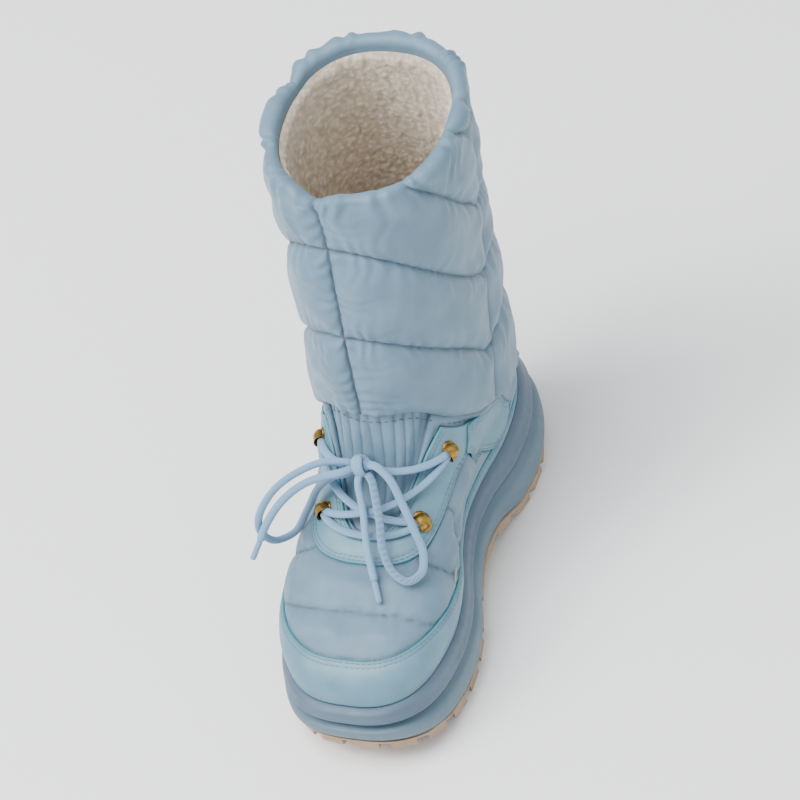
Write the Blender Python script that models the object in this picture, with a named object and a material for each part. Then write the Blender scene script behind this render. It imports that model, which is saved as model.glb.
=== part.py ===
"""Apres ski boot for the right foot, as separate named solids.

Metres, +Z up. The toe points to -Y and the inner side of the foot to +X. The origin is on the floor
under the middle of the heel. All sizes below are in millimetres and are scaled once, in add_solid.
"""
import math

import bmesh
import bpy
import numpy as np

# Driving sizes
MM = 0.001
GAP = 0.3
TOE_Y = -240.0
HEEL_Y = 53.0
OUTSOLE_THICK = 8.0
PLATE_THICK = 3.4
UPPER_INSET = 7.8
TOE_LEAN = 1.4
HEEL_LEAN = 2.4
RIM_DEPTH = 9.5
UPPER_WALL = 2.0
OVERLAY_THICK = 1.3
OVERLAY_GAP = 1.15
RAND_GAP = 0.6
SHAFT_WALL = 4.0
PUFF = 6.5
LINE_Z = 204.0
LINE_STEP = 57.0
LINE_FALL = 62.0
SIDE_SEAM = 1.75
LACE_RADIUS = 2.3
TUBE_STEP = 3.0
COLUMNS = 38
INSOLE_COLUMNS = 34
INSOLE_THICK = 4.2
SEAM_TURN = math.radians(-12)
THROAT_TURNS = (11, 15, 19, 23, 28)

# The sole from toe to heel: place along Y, middle, half width, rim height, tread height
SOLE = np.array([
    (-240, 5, 63.0, 49.0, 18.5),
    (-215, 3, 64.0, 46.5, 7.0),
    (-188, 0, 63.5, 46.0, 1.0),
    (-165, -2, 62.0, 46.0, 0.0),
    (-140, -4, 58.0, 47.0, 0.0),
    (-112, -6, 50.0, 48.5, 0.6),
    (-85, -5, 44.0, 50.5, 7.0),
    (-60, -3, 44.0, 53.5, 8.0),
    (-32, 0, 48.0, 57.0, 0.0),
    (-5, 1, 52.0, 61.5, 0.0),
    (20, 1, 53.0, 65.5, 0.0),
    (53, 0, 53.0, 69.5, 5.0),
], float)
ALONG, MIDDLE, HALF, RIM, TREAD = SOLE.T

# The midsole's side from the bottom up: part of its height, inset from the widest outline
SIDE = (
    (0.00, 3.2),
    (0.12, 0.9),
    (0.28, 0.0),
    (0.44, 0.9),
    (0.53, 3.6),
    (0.60, 3.4),
    (0.66, 1.9),
    (0.82, 2.6),
    (0.95, 4.0),
    (1.00, 5.6),
)

# The boot's rings from the sole to the collar: front Y, front Z, back Y, back Z, half width,
# middle, power of the oval, and how far the ring has left the sole's outline
RINGS = np.array([
    (-229, 37.5, 34.3, 58.0, 44, 0, 2.8, 0.00),
    (-229, 47.0, 34.3, 67.5, 44, 0, 2.8, 0.00),
    (-225, 57.5, 36.0, 75.5, 45, 0, 2.8, 0.00),
    (-213, 68.0, 37.0, 83.5, 47, 0, 2.8, 0.10),
    (-187, 78.5, 37.5, 93.0, 48, 0, 2.6, 0.35),
    (-161, 88.0, 38.0, 104.0, 48, 0, 2.5, 0.65),
    (-139, 98.5, 39.0, 117.0, 47, 0, 2.4, 0.90),
    (-117, 118.0, 41.0, 133.0, 47, 0, 2.3, 1.00),
    (-99, 157.0, 43.0, 156.0, 47, 0, 2.3, 1.00),
    (-94, 192.0, 43.0, 192.0, 47, 1.5, 2.3, 1.00),
    (-87, 234.0, 42.0, 234.0, 48, 4, 2.3, 1.00),
    (-78, 274.0, 41.0, 280.0, 51, 6, 2.3, 1.00),
    (-70, 312.0, 40.0, 327.0, 54, 7, 2.3, 1.00),
], float)
IN_SOLE, JUNCTION, ANKLE, COLLAR = 0.0, 1.0, 8.0, 12.0

# The ankle seam and the top of the mudguard: degrees from the toe, level in rings
SEAM = ((0, 7.95), (30, 7.9), (50, 7.55), (70, 7.1), (90, 6.4), (108, 5.1), (124, 3.7), (140, 2.75), (180, 2.35))
RAND = ((0, 3.05), (40, 3.0), (60, 2.85), (75, 2.6), (95, 2.35), (125, 2.3), (180, 2.15))

# The throat's cut in the upper: degrees from the toe, level in rings
THROAT = ((0, 5.95), (8, 6.0), (14, 6.2), (19, 6.5), (27, 7.0), (35, 7.46), (46, 8.0))

# The eyestay from the bottom of its U to its top end: inner degrees and level, outer degrees and level
EYESTAY = np.array([
    (0.0, 5.88, 0.0, 5.12),
    (7.0, 5.90, 15.0, 5.08),
    (12.5, 6.02, 30.0, 5.00),
    (17.0, 6.22, 44.0, 5.03),
    (22.0, 6.54, 53.0, 5.35),
    (27.5, 6.86, 57.0, 5.75),
    (33.0, 7.16, 62.0, 6.15),
    (39.0, 7.34, 71.0, 6.40),
    (46.0, 7.48, 70.0, 7.00),
], float)

# The ankle strap from the eyestay to the heel: degrees and level of its top and bottom edges
STRAP = np.array([
    (71.5, 6.98, 72.5, 6.25),
    (80.0, 6.68, 81.0, 5.40),
    (88.0, 6.32, 88.5, 4.60),
    (96.0, 5.85, 95.5, 3.75),
    (103.0, 5.25, 101.5, 2.85),
], float)

# The lace hooks: side, degrees from the toe, level in rings
HOOKS = (("hook_1", 1, 34.5, 5.85), ("hook_2", 1, 50.5, 7.0), ("hook_3", -1, 34.5, 5.85), ("hook_4", -1, 50.5, 7.0))
HOOK_ARCH = 4.3
HOOK_BAND = (1.4, 2.8)

# The lace's crossings: degrees and level at both ends
CROSSINGS = (
    ((26.5, 5.86), (-26.5, 5.86)),
    ((26.5, 5.90), (-45.0, 6.98)),
    ((-26.5, 5.90), (45.0, 6.98)),
)
LACE_OUT = 5.0
KNOT = (-4.0, -117.5, 131.5)
KNOT_RADII = (7.0, 5.0, 5.5)

# Routes of the free lace, in millimetres
LOOP_LATERAL = (
    (-14, -120, 135), (-24, -122, 136), (-38, -129, 134), (-52, -143, 129.5), (-60, -154, 118),
    (-62, -154, 102), (-58, -147.5, 89), (-51, -138.5, 86.5), (-43, -130, 98), (-32, -125, 116),
    (-21, -123.5, 125), (-13, -122.5, 127.5),
)
LOOP_MEDIAL = (
    (6, -120.5, 135), (14.5, -124.5, 131), (23, -132.5, 118.5), (31, -142, 107), (37, -150, 96),
    (37.5, -160, 90), (31.5, -167, 90), (23, -165, 94), (15.5, -156, 103), (11.5, -143, 114.5),
    (6.5, -131, 124), (4.5, -126.5, 127.5),
)
END_LATERAL = (
    (-13, -126, 133), (-24, -129, 131), (-37, -135, 128), (-48, -145, 122.5), (-55, -155.5, 115),
    (-60, -162, 105),
)
END_MEDIAL = (
    (-5, -126, 126), (-3, -132, 119.5), (-0.5, -138, 114.5), (2, -146, 109), (5, -155, 102.5),
    (8.5, -163, 96), (12.5, -171, 91),
)
TIP_LENGTH = 13.0
TIP_RADIUS = 1.8

# Colours as linear red, green, blue, with roughness and metallic
TAN_RUBBER = ((0.60, 0.45, 0.33), 0.75, 0.0)
FOAM = ((0.21, 0.31, 0.37), 0.65, 0.0)
FELT = ((0.62, 0.55, 0.47), 0.95, 0.0)
NYLON = ((0.38, 0.50, 0.60), 0.6, 0.0)
LEATHER = ((0.40, 0.59, 0.67), 0.55, 0.0)
BRASS = ((0.42, 0.27, 0.08), 0.35, 1.0)
CORD = ((0.38, 0.56, 0.72), 0.7, 0.0)


def smooth(x, xs, ys):
    """Value at x of the cubic curve through the points xs, ys, with slopes from their neighbours."""
    xs = np.asarray(xs, float)
    ys = np.asarray(ys, float)
    x = np.clip(x, xs[0], xs[-1])
    width = np.diff(xs)
    rise = np.diff(ys) / width
    slope = np.concatenate([
        rise[:1],
        (rise[:-1] * width[1:] + rise[1:] * width[:-1]) / (width[:-1] + width[1:]),
        rise[-1:],
    ])
    i = np.clip(np.searchsorted(xs, x, side="right") - 1, 0, len(xs) - 2)
    t = (x - xs[i]) / width[i]
    start = (1 + 2 * t) * (1 - t) ** 2 * ys[i] + t * (1 - t) ** 2 * width[i] * slope[i]
    end = t * t * (3 - 2 * t) * ys[i + 1] + t * t * (t - 1) * width[i] * slope[i + 1]
    return start + end


def at_turn(turn, table):
    """A table's level at an angle from the toe, the same on both sides of the boot."""
    table = np.asarray(table, float)
    away = np.degrees(np.abs((np.asarray(turn) + math.pi) % (2 * math.pi) - math.pi))
    return smooth(away, table[:, 0], table[:, 1])


def oval(turn, power):
    """Cosine and sine of an oval that gets squarer as its power grows."""
    c, s = np.cos(turn), np.sin(turn)
    return np.sign(c) * np.abs(c) ** (2 / power), np.sign(s) * np.abs(s) ** (2 / power)


def turns(count=COLUMNS, throat=True):
    """Angles round the boot, closest at the toe, the sides and the heel, and round the throat's edge."""
    even = np.arange(count // 2 + 1) * 2 * math.pi / count
    half = even - 0.12 * np.sin(4 * even)
    if throat:
        edge = np.radians(THROAT_TURNS)
        apart = np.min(np.abs(half[:, None] - edge), axis=1) > math.radians(1.7)
        half = np.sort(np.concatenate([half[apart], edge]))
    return np.concatenate([half, 2 * math.pi - half[-2:0:-1]])


def sole_ring(turn, inset):
    """X and Y of the sole's outline, moved in by the inset."""
    c, s = oval(turn, RINGS[0, 6])
    front, back = TOE_Y + inset * TOE_LEAN, HEEL_Y - inset * HEEL_LEAN
    y = (front + back) / 2 - (back - front) / 2 * c
    return smooth(y, ALONG, MIDDLE) + s * (smooth(y, ALONG, HALF) - inset), y


def boot_form(turn, level):
    """Points of the boot's plain outer form, by angle from the toe and level in rings."""
    turn, level = np.broadcast_arrays(np.asarray(turn, float), np.asarray(level, float))
    front, front_z, back, back_z, half, middle, power, plain = (
        smooth(level, np.arange(len(RINGS)), column) for column in RINGS.T
    )
    c, s = oval(turn, power)
    y = (front + back) / 2 - (back - front) / 2 * c
    bulge = smooth(level, (1, 2, 3, 4), (0, 2.0, 2.0, 0))
    half = (1 - plain) * (smooth(y, ALONG, HALF) - UPPER_INSET + bulge) + plain * half
    x = (1 - plain) * smooth(y, ALONG, MIDDLE) + plain * middle + s * half
    part = (y - front) / (back - front)
    rim_line = RINGS[1, 1] + (RINGS[1, 3] - RINGS[1, 1]) * part
    z = front_z + (back_z - front_z) * part + (1 - plain) * (smooth(y, ALONG, RIM) - rim_line)
    return np.stack([x, y, z], axis=-1)


def outward(turn, level):
    """Unit normals of the plain form, from small steps along its two directions."""
    step = 0.01
    inner, outer = np.maximum(level - step, 0), np.minimum(level + step, COLLAR)
    around = boot_form(turn + step, level) - boot_form(turn - step, level)
    up = boot_form(turn, outer) - boot_form(turn, inner)
    normal = np.cross(around, up)
    return normal / np.linalg.norm(normal, axis=-1, keepdims=True)


def boot_point(turn, level, out=0.0):
    """A point of the plain form, moved out along its normal."""
    turn, level = np.broadcast_arrays(np.asarray(turn, float), np.asarray(level, float))
    return boot_form(turn, level) + outward(turn, level) * np.asarray(out, float)[..., None]


def quilt(turn, level):
    """Height of the shaft's padding: rolls between lines that fall from the front seam to the sides."""
    away = np.abs((turn + math.pi) % (2 * math.pi) - math.pi)
    seam_turn = SEAM_TURN * np.clip((level - ANKLE) / (COLLAR - ANKLE), 0, 1)
    from_seam = np.abs((turn - seam_turn + math.pi) % (2 * math.pi) - math.pi)
    z = boot_form(turn, level)[..., 2]
    fall = LINE_FALL * np.sin(np.clip(from_seam, 0, math.pi / 2)) ** 1.6
    roll = np.abs(np.sin(math.pi * (z + fall - LINE_Z) / LINE_STEP)) ** 0.7
    front_seam = np.clip(from_seam / 0.16, 0, 1) ** 0.5
    side_seam = np.clip(np.abs(away - SIDE_SEAM) / 0.14, 0.25, 1) ** 0.5
    low_edge = np.clip((level - at_turn(turn, SEAM)) / 0.5, 0, 1) ** 0.5
    top_edge = np.clip((COLLAR - level) / 0.25, 0, 1) ** 0.5
    return PUFF * (0.15 + 0.85 * roll) * (0.25 + 0.75 * front_seam) * side_seam * low_edge * top_edge


def material(name, look):
    """A plain Principled material from a colour, roughness and metallic value."""
    made = bpy.data.materials.get(name) or bpy.data.materials.new(name)
    colour, roughness, metallic = look
    made.use_nodes = True
    shader = made.node_tree.nodes["Principled BSDF"]
    shader.inputs["Base Color"].default_value = (*colour, 1)
    shader.inputs["Roughness"].default_value = roughness
    shader.inputs["Metallic"].default_value = metallic
    return made


def add_solid(name, points, faces, look_name, look):
    """An object from points in millimetres and faces, with its normals turned out."""
    mesh = bpy.data.meshes.new(name)
    mesh.from_pydata((np.asarray(points) * MM).tolist(), [], faces)
    cleaner = bmesh.new()
    cleaner.from_mesh(mesh)
    bmesh.ops.remove_doubles(cleaner, verts=cleaner.verts, dist=0.02 * MM)
    bmesh.ops.recalc_face_normals(cleaner, faces=cleaner.faces)
    cleaner.to_mesh(mesh)
    cleaner.free()
    mesh.materials.append(material(look_name, look))
    made = bpy.data.objects.new(name, mesh)
    bpy.data.collections["apres_ski_boot"].objects.link(made)
    return made


def quads(rows, columns, start, wrap, turned):
    """Faces of a grid of points, closed across its columns where wrap is true."""
    faces = []
    for r in range(rows - 1):
        for c in range(columns if wrap else columns - 1):
            n = (c + 1) % columns
            face = [start + r * columns + c, start + r * columns + n,
                    start + (r + 1) * columns + n, start + (r + 1) * columns + c]
            faces.append(face[::-1] if turned else face)
    return faces


def wall(name, outer, inner, wrap, look_name, look):
    """A closed solid between two grids of the same size, rows by columns by XYZ."""
    rows, columns = outer.shape[:2]
    shift = rows * columns
    faces = quads(rows, columns, 0, wrap, False) + quads(rows, columns, shift, wrap, True)
    for row in (0, rows - 1):
        for c in range(columns if wrap else columns - 1):
            a, b = row * columns + c, row * columns + (c + 1) % columns
            faces.append([a, b, b + shift, a + shift])
    if not wrap:
        for column in (0, columns - 1):
            for r in range(rows - 1):
                a, b = r * columns + column, (r + 1) * columns + column
                faces.append([a, b, b + shift, a + shift])
    points = np.concatenate([outer.reshape(-1, 3), inner.reshape(-1, 3)])
    return add_solid(name, points, faces, look_name, look)


def ladder(count, start):
    """Faces that close a ring by joining each point to the one straight across the boot."""
    faces = [[start, start + 1, start + count - 1]]
    for i in range(1, count // 2 - 1):
        faces.append([start + i, start + i + 1, start + count - i - 1, start + count - i])
    half = count // 2
    faces.append([start + half - 1, start + half, start + half + 1])
    return faces


def stack(name, rings, look_name, look):
    """A closed solid from rings of points, with a ladder across the first and the last."""
    rings = np.asarray(rings)
    count = rings.shape[1]
    faces = quads(len(rings), count, 0, True, False)
    faces += ladder(count, 0) + ladder(count, (len(rings) - 1) * count)
    return add_solid(name, rings.reshape(-1, 3), faces, look_name, look)


def sole_level(turn, inset, height):
    """A ring of the sole: its outline at an inset, with a height worked out from Y."""
    x, y = sole_ring(turn, inset)
    return np.stack([x, y, height(y)], axis=-1)


def tread(y):
    return np.maximum(smooth(y, ALONG, TREAD), 0)


def rim(y):
    return smooth(y, ALONG, RIM)


def midsole_bottom(y):
    return tread(y) + OUTSOLE_THICK


def floor_height(y):
    return rim(y) - RIM_DEPTH - GAP


def build_midsole():
    """One moulded foam body in two tiers, hollowed at the top for the upper and the insole."""
    turn = turns()
    rings = []
    for part, inset in SIDE:
        rings.append(sole_level(turn, inset, lambda y, part=part: (
            midsole_bottom(y) + part * (rim(y) - midsole_bottom(y)))))
    recess = UPPER_INSET - GAP - 0.05
    rings.append(sole_level(turn, recess, rim))
    rings.append(sole_level(turn, recess, floor_height))
    return stack("midsole", rings, "foam", FOAM)


def lug(corners, top, bottom):
    """Points of a block from four corners in plan, a top height and a bottom height for each."""
    corners = np.asarray(corners, float)
    low = np.column_stack([corners, np.asarray(bottom, float) * np.ones(4)])
    high = np.column_stack([corners, np.asarray(top, float) * np.ones(4)])
    return np.concatenate([low, high])


def edge_lugs():
    """Blocks along the sole's edge, alike in spacing, wider at the toe and the heel."""
    blocks = []
    count = 30
    dense = np.linspace(0, 2 * math.pi, 1441)
    x, y = sole_ring(dense, 3.0)
    run = np.concatenate([[0], np.cumsum(np.hypot(np.diff(x), np.diff(y)))])
    starts = np.arange(count) / count * run[-1]
    for start in starts:
        edge = np.interp((start + np.array([0, 0.66]) * run[-1] / count), run, dense)
        x_out, y_out = sole_ring(edge, 3.0)
        x_in, y_in = sole_ring(edge, 15.0)
        corners = [(x_out[0], y_out[0]), (x_out[1], y_out[1]), (x_in[1], y_in[1]), (x_in[0], y_in[0])]
        along = np.array([corner[1] for corner in corners])
        blocks.append(lug(corners, tread(along) + OUTSOLE_THICK - 2.0, tread(along)))
    return blocks


def middle_lugs():
    """Bars across the forefoot and the heel, inside the edge blocks."""
    blocks = []
    bars = (
        # middle along Y, half width, half depth
        (-206, 24, 4.0), (-190, 30, 4.0), (-174, 32, 4.0), (-158, 32, 4.0), (-142, 31, 4.0), (-126, 27, 4.0),
        (-30, 20, 4.0), (-15, 23, 4.0), (0, 23, 4.0), (15, 20, 4.0), (28, 12, 3.5),
    )
    for place, half, depth in bars:
        middle = float(smooth(place, ALONG, MIDDLE))
        bend = 3.0
        corners_a = [(middle - half, place - depth + bend), (middle, place - depth),
                     (middle, place + depth), (middle - half, place + depth + bend)]
        corners_b = [(middle, place - depth), (middle + half, place - depth + bend),
                     (middle + half, place + depth + bend), (middle, place + depth)]
        both = [corners_a, corners_b]
        points = []
        for corners in both:
            along = np.array([corner[1] for corner in corners])
            points.append(lug(corners, tread(along) + OUTSOLE_THICK - 2.0, tread(along)))
        blocks.append(points)
    return blocks


def build_outsole():
    """A thin rubber plate under the midsole with edge blocks and bent bars joined on."""
    turn = turns()
    top = OUTSOLE_THICK - GAP
    rings = [
        sole_level(turn, 4.2, lambda y: tread(y) + OUTSOLE_THICK - PLATE_THICK),
        sole_level(turn, 2.6, lambda y: tread(y) + OUTSOLE_THICK - PLATE_THICK + 0.8),
        sole_level(turn, 2.4, lambda y: tread(y) + top - 0.6),
        sole_level(turn, 3.4, lambda y: tread(y) + top),
    ]
    plate = stack("outsole", rings, "tan_rubber", TAN_RUBBER)
    block_faces = [[0, 1, 2, 3], [7, 6, 5, 4], [0, 4, 5, 1], [1, 5, 6, 2], [2, 6, 7, 3], [3, 7, 4, 0]]
    points, faces = [], []
    for block in edge_lugs():
        faces += [[i + len(points) * 8 for i in face] for face in block_faces]
        points.append(block)
    edge = add_cutter("edge_blocks", np.concatenate(points), faces)
    points, faces = [], []
    bar_faces = [[0, 1, 2, 3], [7, 6, 5, 4], [0, 4, 5, 1], [2, 6, 7, 3], [3, 7, 4, 0]]
    twin_faces = [[0, 1, 2, 3], [7, 6, 5, 4], [0, 4, 5, 1], [1, 5, 6, 2], [2, 6, 7, 3]]
    for left, right in middle_lugs():
        start = len(points) * 8
        faces += [[i + start for i in face] for face in bar_faces]
        faces += [[i + start + 8 for i in face] for face in twin_faces]
        points += [left, right]
    bars = add_cutter("middle_bars", np.concatenate(points), faces)
    join(plate, edge)
    join(plate, bars)
    return plate


def add_cutter(name, points, faces):
    """A helper solid that is joined to another and isn't part of the boot itself."""
    return as_helper(add_solid(name, points, faces, "tan_rubber", TAN_RUBBER))


def as_helper(helper):
    """Moves an object to the helpers, hidden from renders."""
    bpy.data.collections["apres_ski_boot"].objects.unlink(helper)
    bpy.data.collections["helpers"].objects.link(helper)
    helper.hide_render = True
    helper.display_type = "WIRE"
    return helper


def build_insole():
    """A footbed that follows the floor of the boot inside the upper's wall."""
    turn = turns(INSOLE_COLUMNS, throat=False)
    inset = UPPER_INSET + UPPER_WALL + 1.0
    low = GAP + 0.1
    rings = [
        sole_level(turn, inset + 0.6, lambda y: floor_height(y) + low),
        sole_level(turn, inset, lambda y: floor_height(y) + low + 1.0),
        sole_level(turn, inset, lambda y: floor_height(y) + low + INSOLE_THICK - 1.0),
        sole_level(turn, inset + 1.0, lambda y: floor_height(y) + low + INSOLE_THICK),
    ]
    return stack("insole", rings, "felt", FELT)


def upper_top(turn):
    """Level of the upper's top edge: the ankle seam, cut down at the front for the throat."""
    away = np.degrees(np.abs((turn + math.pi) % (2 * math.pi) - math.pi))
    cut = np.where(away < THROAT[-1][0], at_turn(turn, THROAT), ANKLE)
    return np.minimum(at_turn(turn, SEAM), cut) - 0.04


def rand_levels(turn):
    """Levels of the rows that the upper and the mudguard share, from the sole's rim up."""
    share = np.linspace(0, 1, 4)[:, None]
    return JUNCTION + 0.03 + share * (at_turn(turn, RAND) - JUNCTION - 0.03)


def build_upper():
    """Vamp and quarters as one hollow wall, open at the throat, at the ankle and underneath."""
    turn = turns()
    low = rand_levels(turn)
    share = np.linspace(0, 1, 10)[1:, None]
    high = low[-1] + share * (upper_top(turn) - low[-1])
    level = np.concatenate([np.full((1, len(turn)), IN_SOLE), low, high])
    outer = boot_point(turn, level, 0.0)
    inner = boot_point(turn, level, -UPPER_WALL)
    return wall("upper", outer, inner, True, "nylon", NYLON)


def build_mudguard():
    """The leather rand: a wall just outside the upper, from the sole's rim to its own top line."""
    turn = turns()
    level = rand_levels(turn)
    outer = boot_point(turn, level, RAND_GAP + OVERLAY_THICK)
    inner = boot_point(turn, level, RAND_GAP)
    for side in (outer, inner):
        side[0, :, 2] = rim(side[0, :, 1]) + GAP + 0.1
    return wall("mudguard", outer, inner, True, "leather", LEATHER)


def build_shaft():
    """The quilted tube: padded rolls outside, a plain wall inside, from the ankle seam to the collar."""
    turn = turns()
    share = np.linspace(0, 1, 13)[:, None]
    low = at_turn(turn, SEAM) + 0.04
    level = low + share * (COLLAR - low)
    outer = boot_point(turn, level, quilt(turn, level))
    inner = boot_point(turn, level, -SHAFT_WALL + 2.0 * (1 - share) ** 2)
    inner[-1, :, 2] -= 1.0
    return wall("shaft", outer, inner, True, "quilted_nylon", NYLON)


def throat_turn(level):
    """Angle from the toe of the throat's edge at a level."""
    table = np.asarray(THROAT)
    return np.interp(level, table[:, 1], table[:, 0])


def build_tongue():
    """A cloth tongue under the throat's edges, crowned where it fills the opening."""
    turn = np.radians(np.linspace(-50, 50, 15))[None, :]
    share = np.linspace(0, 1, 10)[:, None]
    level = 5.5 + share * (at_turn(turn, SEAM) - 0.07 - 5.5)
    away = np.degrees(np.abs(turn))
    inside = np.clip((throat_turn(level) - 2.0 - away) / 12, 0, 1)
    crown = inside ** 2 * np.clip((level - 6.2) / 0.4, 0, 1)
    out = -UPPER_WALL - GAP - 0.1 + 2.6 * crown
    return wall("tongue", boot_point(turn, level, out), boot_point(turn, level, out - 1.6), False, "nylon", NYLON)


def build_eyestay():
    """The U of leather round the throat, from one ankle strap down and up to the other."""
    places = np.linspace(0, len(EYESTAY) - 1, 17)
    half = np.stack([smooth(places, np.arange(len(EYESTAY)), column) for column in EYESTAY.T], axis=1)
    other = half[:0:-1] * (-1, 1, -1, 1)
    both = np.concatenate([other, half])
    share = np.linspace(0, 1, 5)[None, :]
    turn = np.radians(both[:, :1] + (both[:, 2:3] - both[:, :1]) * share)
    level = both[:, 1:2] + (both[:, 3:4] - both[:, 1:2]) * share
    outer = boot_point(turn, level, OVERLAY_GAP + OVERLAY_THICK)
    inner = boot_point(turn, level, OVERLAY_GAP)
    return wall("eyestay", outer, inner, False, "leather", LEATHER)


def build_strap(name, side):
    """An ankle strap in the eyestay's layer, from the eyestay's end down to the mudguard."""
    places = np.linspace(0, len(STRAP) - 1, 9)
    edges = np.stack([smooth(places, np.arange(len(STRAP)), column) for column in STRAP.T], axis=1)
    share = np.linspace(0, 1, 5)[None, :]
    turn = np.radians(edges[:, :1] + (edges[:, 2:3] - edges[:, :1]) * share) * side
    level = edges[:, 1:2] + (edges[:, 3:4] - edges[:, 1:2]) * share
    outer = boot_point(turn, level, OVERLAY_GAP + OVERLAY_THICK)
    inner = boot_point(turn, level, OVERLAY_GAP)
    return wall(name, outer, inner, False, "leather", LEATHER)


def local_frame(turn, level, out, side):
    """Origin and three directions at a place on the boot: towards the throat, up the boot and outward."""
    origin = boot_point(turn, level, out)
    normal = outward(turn, level)
    across = boot_form(turn - side * 0.02, level) - boot_form(turn, level)
    across -= normal * (across @ normal)
    across /= np.linalg.norm(across)
    return origin, across, np.cross(normal, across), normal


def place(points, frame):
    """Points given across, along and outward, put into a local frame."""
    origin, across, along, normal = frame
    points = np.asarray(points, float)
    return origin + points[..., :1] * across + points[..., 1:2] * along + points[..., 2:3] * normal


def join(target, tool):
    """Unites a helper solid with a target."""
    union = target.modifiers.new(tool.name, "BOOLEAN")
    union.operation = "UNION"
    union.object = tool


def capped(rings):
    """Faces and points of a tube from rings of points, with a flat cap at both ends."""
    rings = np.asarray(rings)
    count = rings.shape[1]
    last = (len(rings) - 1) * count
    faces = quads(len(rings), count, 0, True, False)
    faces += [list(range(count)), list(range(last, last + count))]
    return rings.reshape(-1, 3), faces


def build_hook(name, side, degrees, level):
    """A brass lace hook: a riveted plate with a rolled arch over it that the lace runs through."""
    frame = local_frame(math.radians(degrees) * side, level, OVERLAY_GAP + OVERLAY_THICK + 0.5, side)
    corner = (np.arange(8) + 0.5) * math.pi / 4
    outline = np.stack([4.4 * np.cos(corner), 6.6 * np.sin(corner), 0 * corner], axis=1)
    points, faces = capped([place(outline + (0, 0, z), frame) for z in (0, 1.1)])
    plate = add_solid(name, points, faces, "brass", BRASS)
    rings = []
    thick, wide = HOOK_BAND
    for angle in np.linspace(0, math.pi, 8):
        radius = HOOK_ARCH + thick * np.sin(corner)
        rings.append(place(np.stack([
            wide * np.cos(corner),
            radius * math.cos(angle),
            0.6 + radius * math.sin(angle),
        ], axis=1), frame))
    points, faces = capped(rings)
    join(plate, as_helper(add_solid(name + "_arch", points, faces, "brass", BRASS)))
    return plate


def tube(name, points, radius, look_name, look):
    """A round tube along a smooth curve through the points, made a mesh with welded caps."""
    points = np.asarray(points, float)
    run = np.concatenate([[0], np.cumsum(np.linalg.norm(np.diff(points, axis=0), axis=1))])
    count = max(4, int(round(run[-1] / (TUBE_STEP * radius))))
    places = np.linspace(0, run[-1], count)
    route = np.stack([smooth(places, run, column) for column in points.T], axis=1) * MM
    curve = bpy.data.curves.new(name + "_route", "CURVE")
    curve.dimensions = "3D"
    curve.bevel_depth = radius * MM
    curve.bevel_resolution = 2
    curve.use_fill_caps = True
    spline = curve.splines.new("POLY")
    spline.points.add(len(route) - 1)
    for point, at in zip(spline.points, route):
        point.co = (*at, 1)
    drawn = bpy.data.objects.new(name + "_route", curve)
    bpy.context.scene.collection.objects.link(drawn)
    seen = drawn.evaluated_get(bpy.context.evaluated_depsgraph_get())
    mesh = bpy.data.meshes.new_from_object(seen)
    bpy.data.objects.remove(drawn)
    welder = bmesh.new()
    welder.from_mesh(mesh)
    bmesh.ops.remove_doubles(welder, verts=welder.verts, dist=0.02 * MM)
    welder.to_mesh(mesh)
    welder.free()
    mesh.materials.clear()
    mesh.materials.append(material(look_name, look))
    made = bpy.data.objects.new(name, mesh)
    bpy.data.collections["apres_ski_boot"].objects.link(made)
    return made


def build_crossings():
    """The lace between its hooks: a low bar, two crossings and two strands to the knot, in one solid."""
    routes = []
    for (turn_a, level_a), (turn_b, level_b) in CROSSINGS:
        share = np.linspace(0, 1, 9)
        turn = np.radians(turn_a + (turn_b - turn_a) * share)
        routes.append(boot_point(turn, level_a + (level_b - level_a) * share, LACE_OUT))
    for side in (1, -1):
        share = np.linspace(0, 1, 5)
        turn = np.radians(45 + (9 - 45) * share) * side
        routes.append(boot_point(turn, 6.98 + (7.22 - 6.98) * share, LACE_OUT))
    bars = tube("lace_crossings", routes[0], LACE_RADIUS, "cord", CORD)
    for number, route in enumerate(routes[1:]):
        join(bars, as_helper(tube("lace_part_%d" % number, route, LACE_RADIUS, "cord", CORD)))
    return bars


def build_knot():
    """The bow's knot, as one closed lump that the strands, loops and ends come out of."""
    ball = bmesh.new()
    bmesh.ops.create_icosphere(ball, subdivisions=2, radius=1.0)
    mesh = bpy.data.meshes.new("lace_knot")
    for vertex in ball.verts:
        vertex.co = [(k + c * r) * MM for k, c, r in zip(KNOT, vertex.co, KNOT_RADII)]
    ball.to_mesh(mesh)
    ball.free()
    mesh.materials.append(material("cord", CORD))
    made = bpy.data.objects.new("lace_knot", mesh)
    bpy.data.collections["apres_ski_boot"].objects.link(made)
    return made


def build_tip(name, route):
    """A slim lace tip that carries on from the end of a route."""
    last, before = np.asarray(route[-1], float), np.asarray(route[-2], float)
    way = (last - before) / np.linalg.norm(last - before)
    return tube(name, [last + way * GAP, last + way * TIP_LENGTH], TIP_RADIUS, "cord", CORD)


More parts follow.
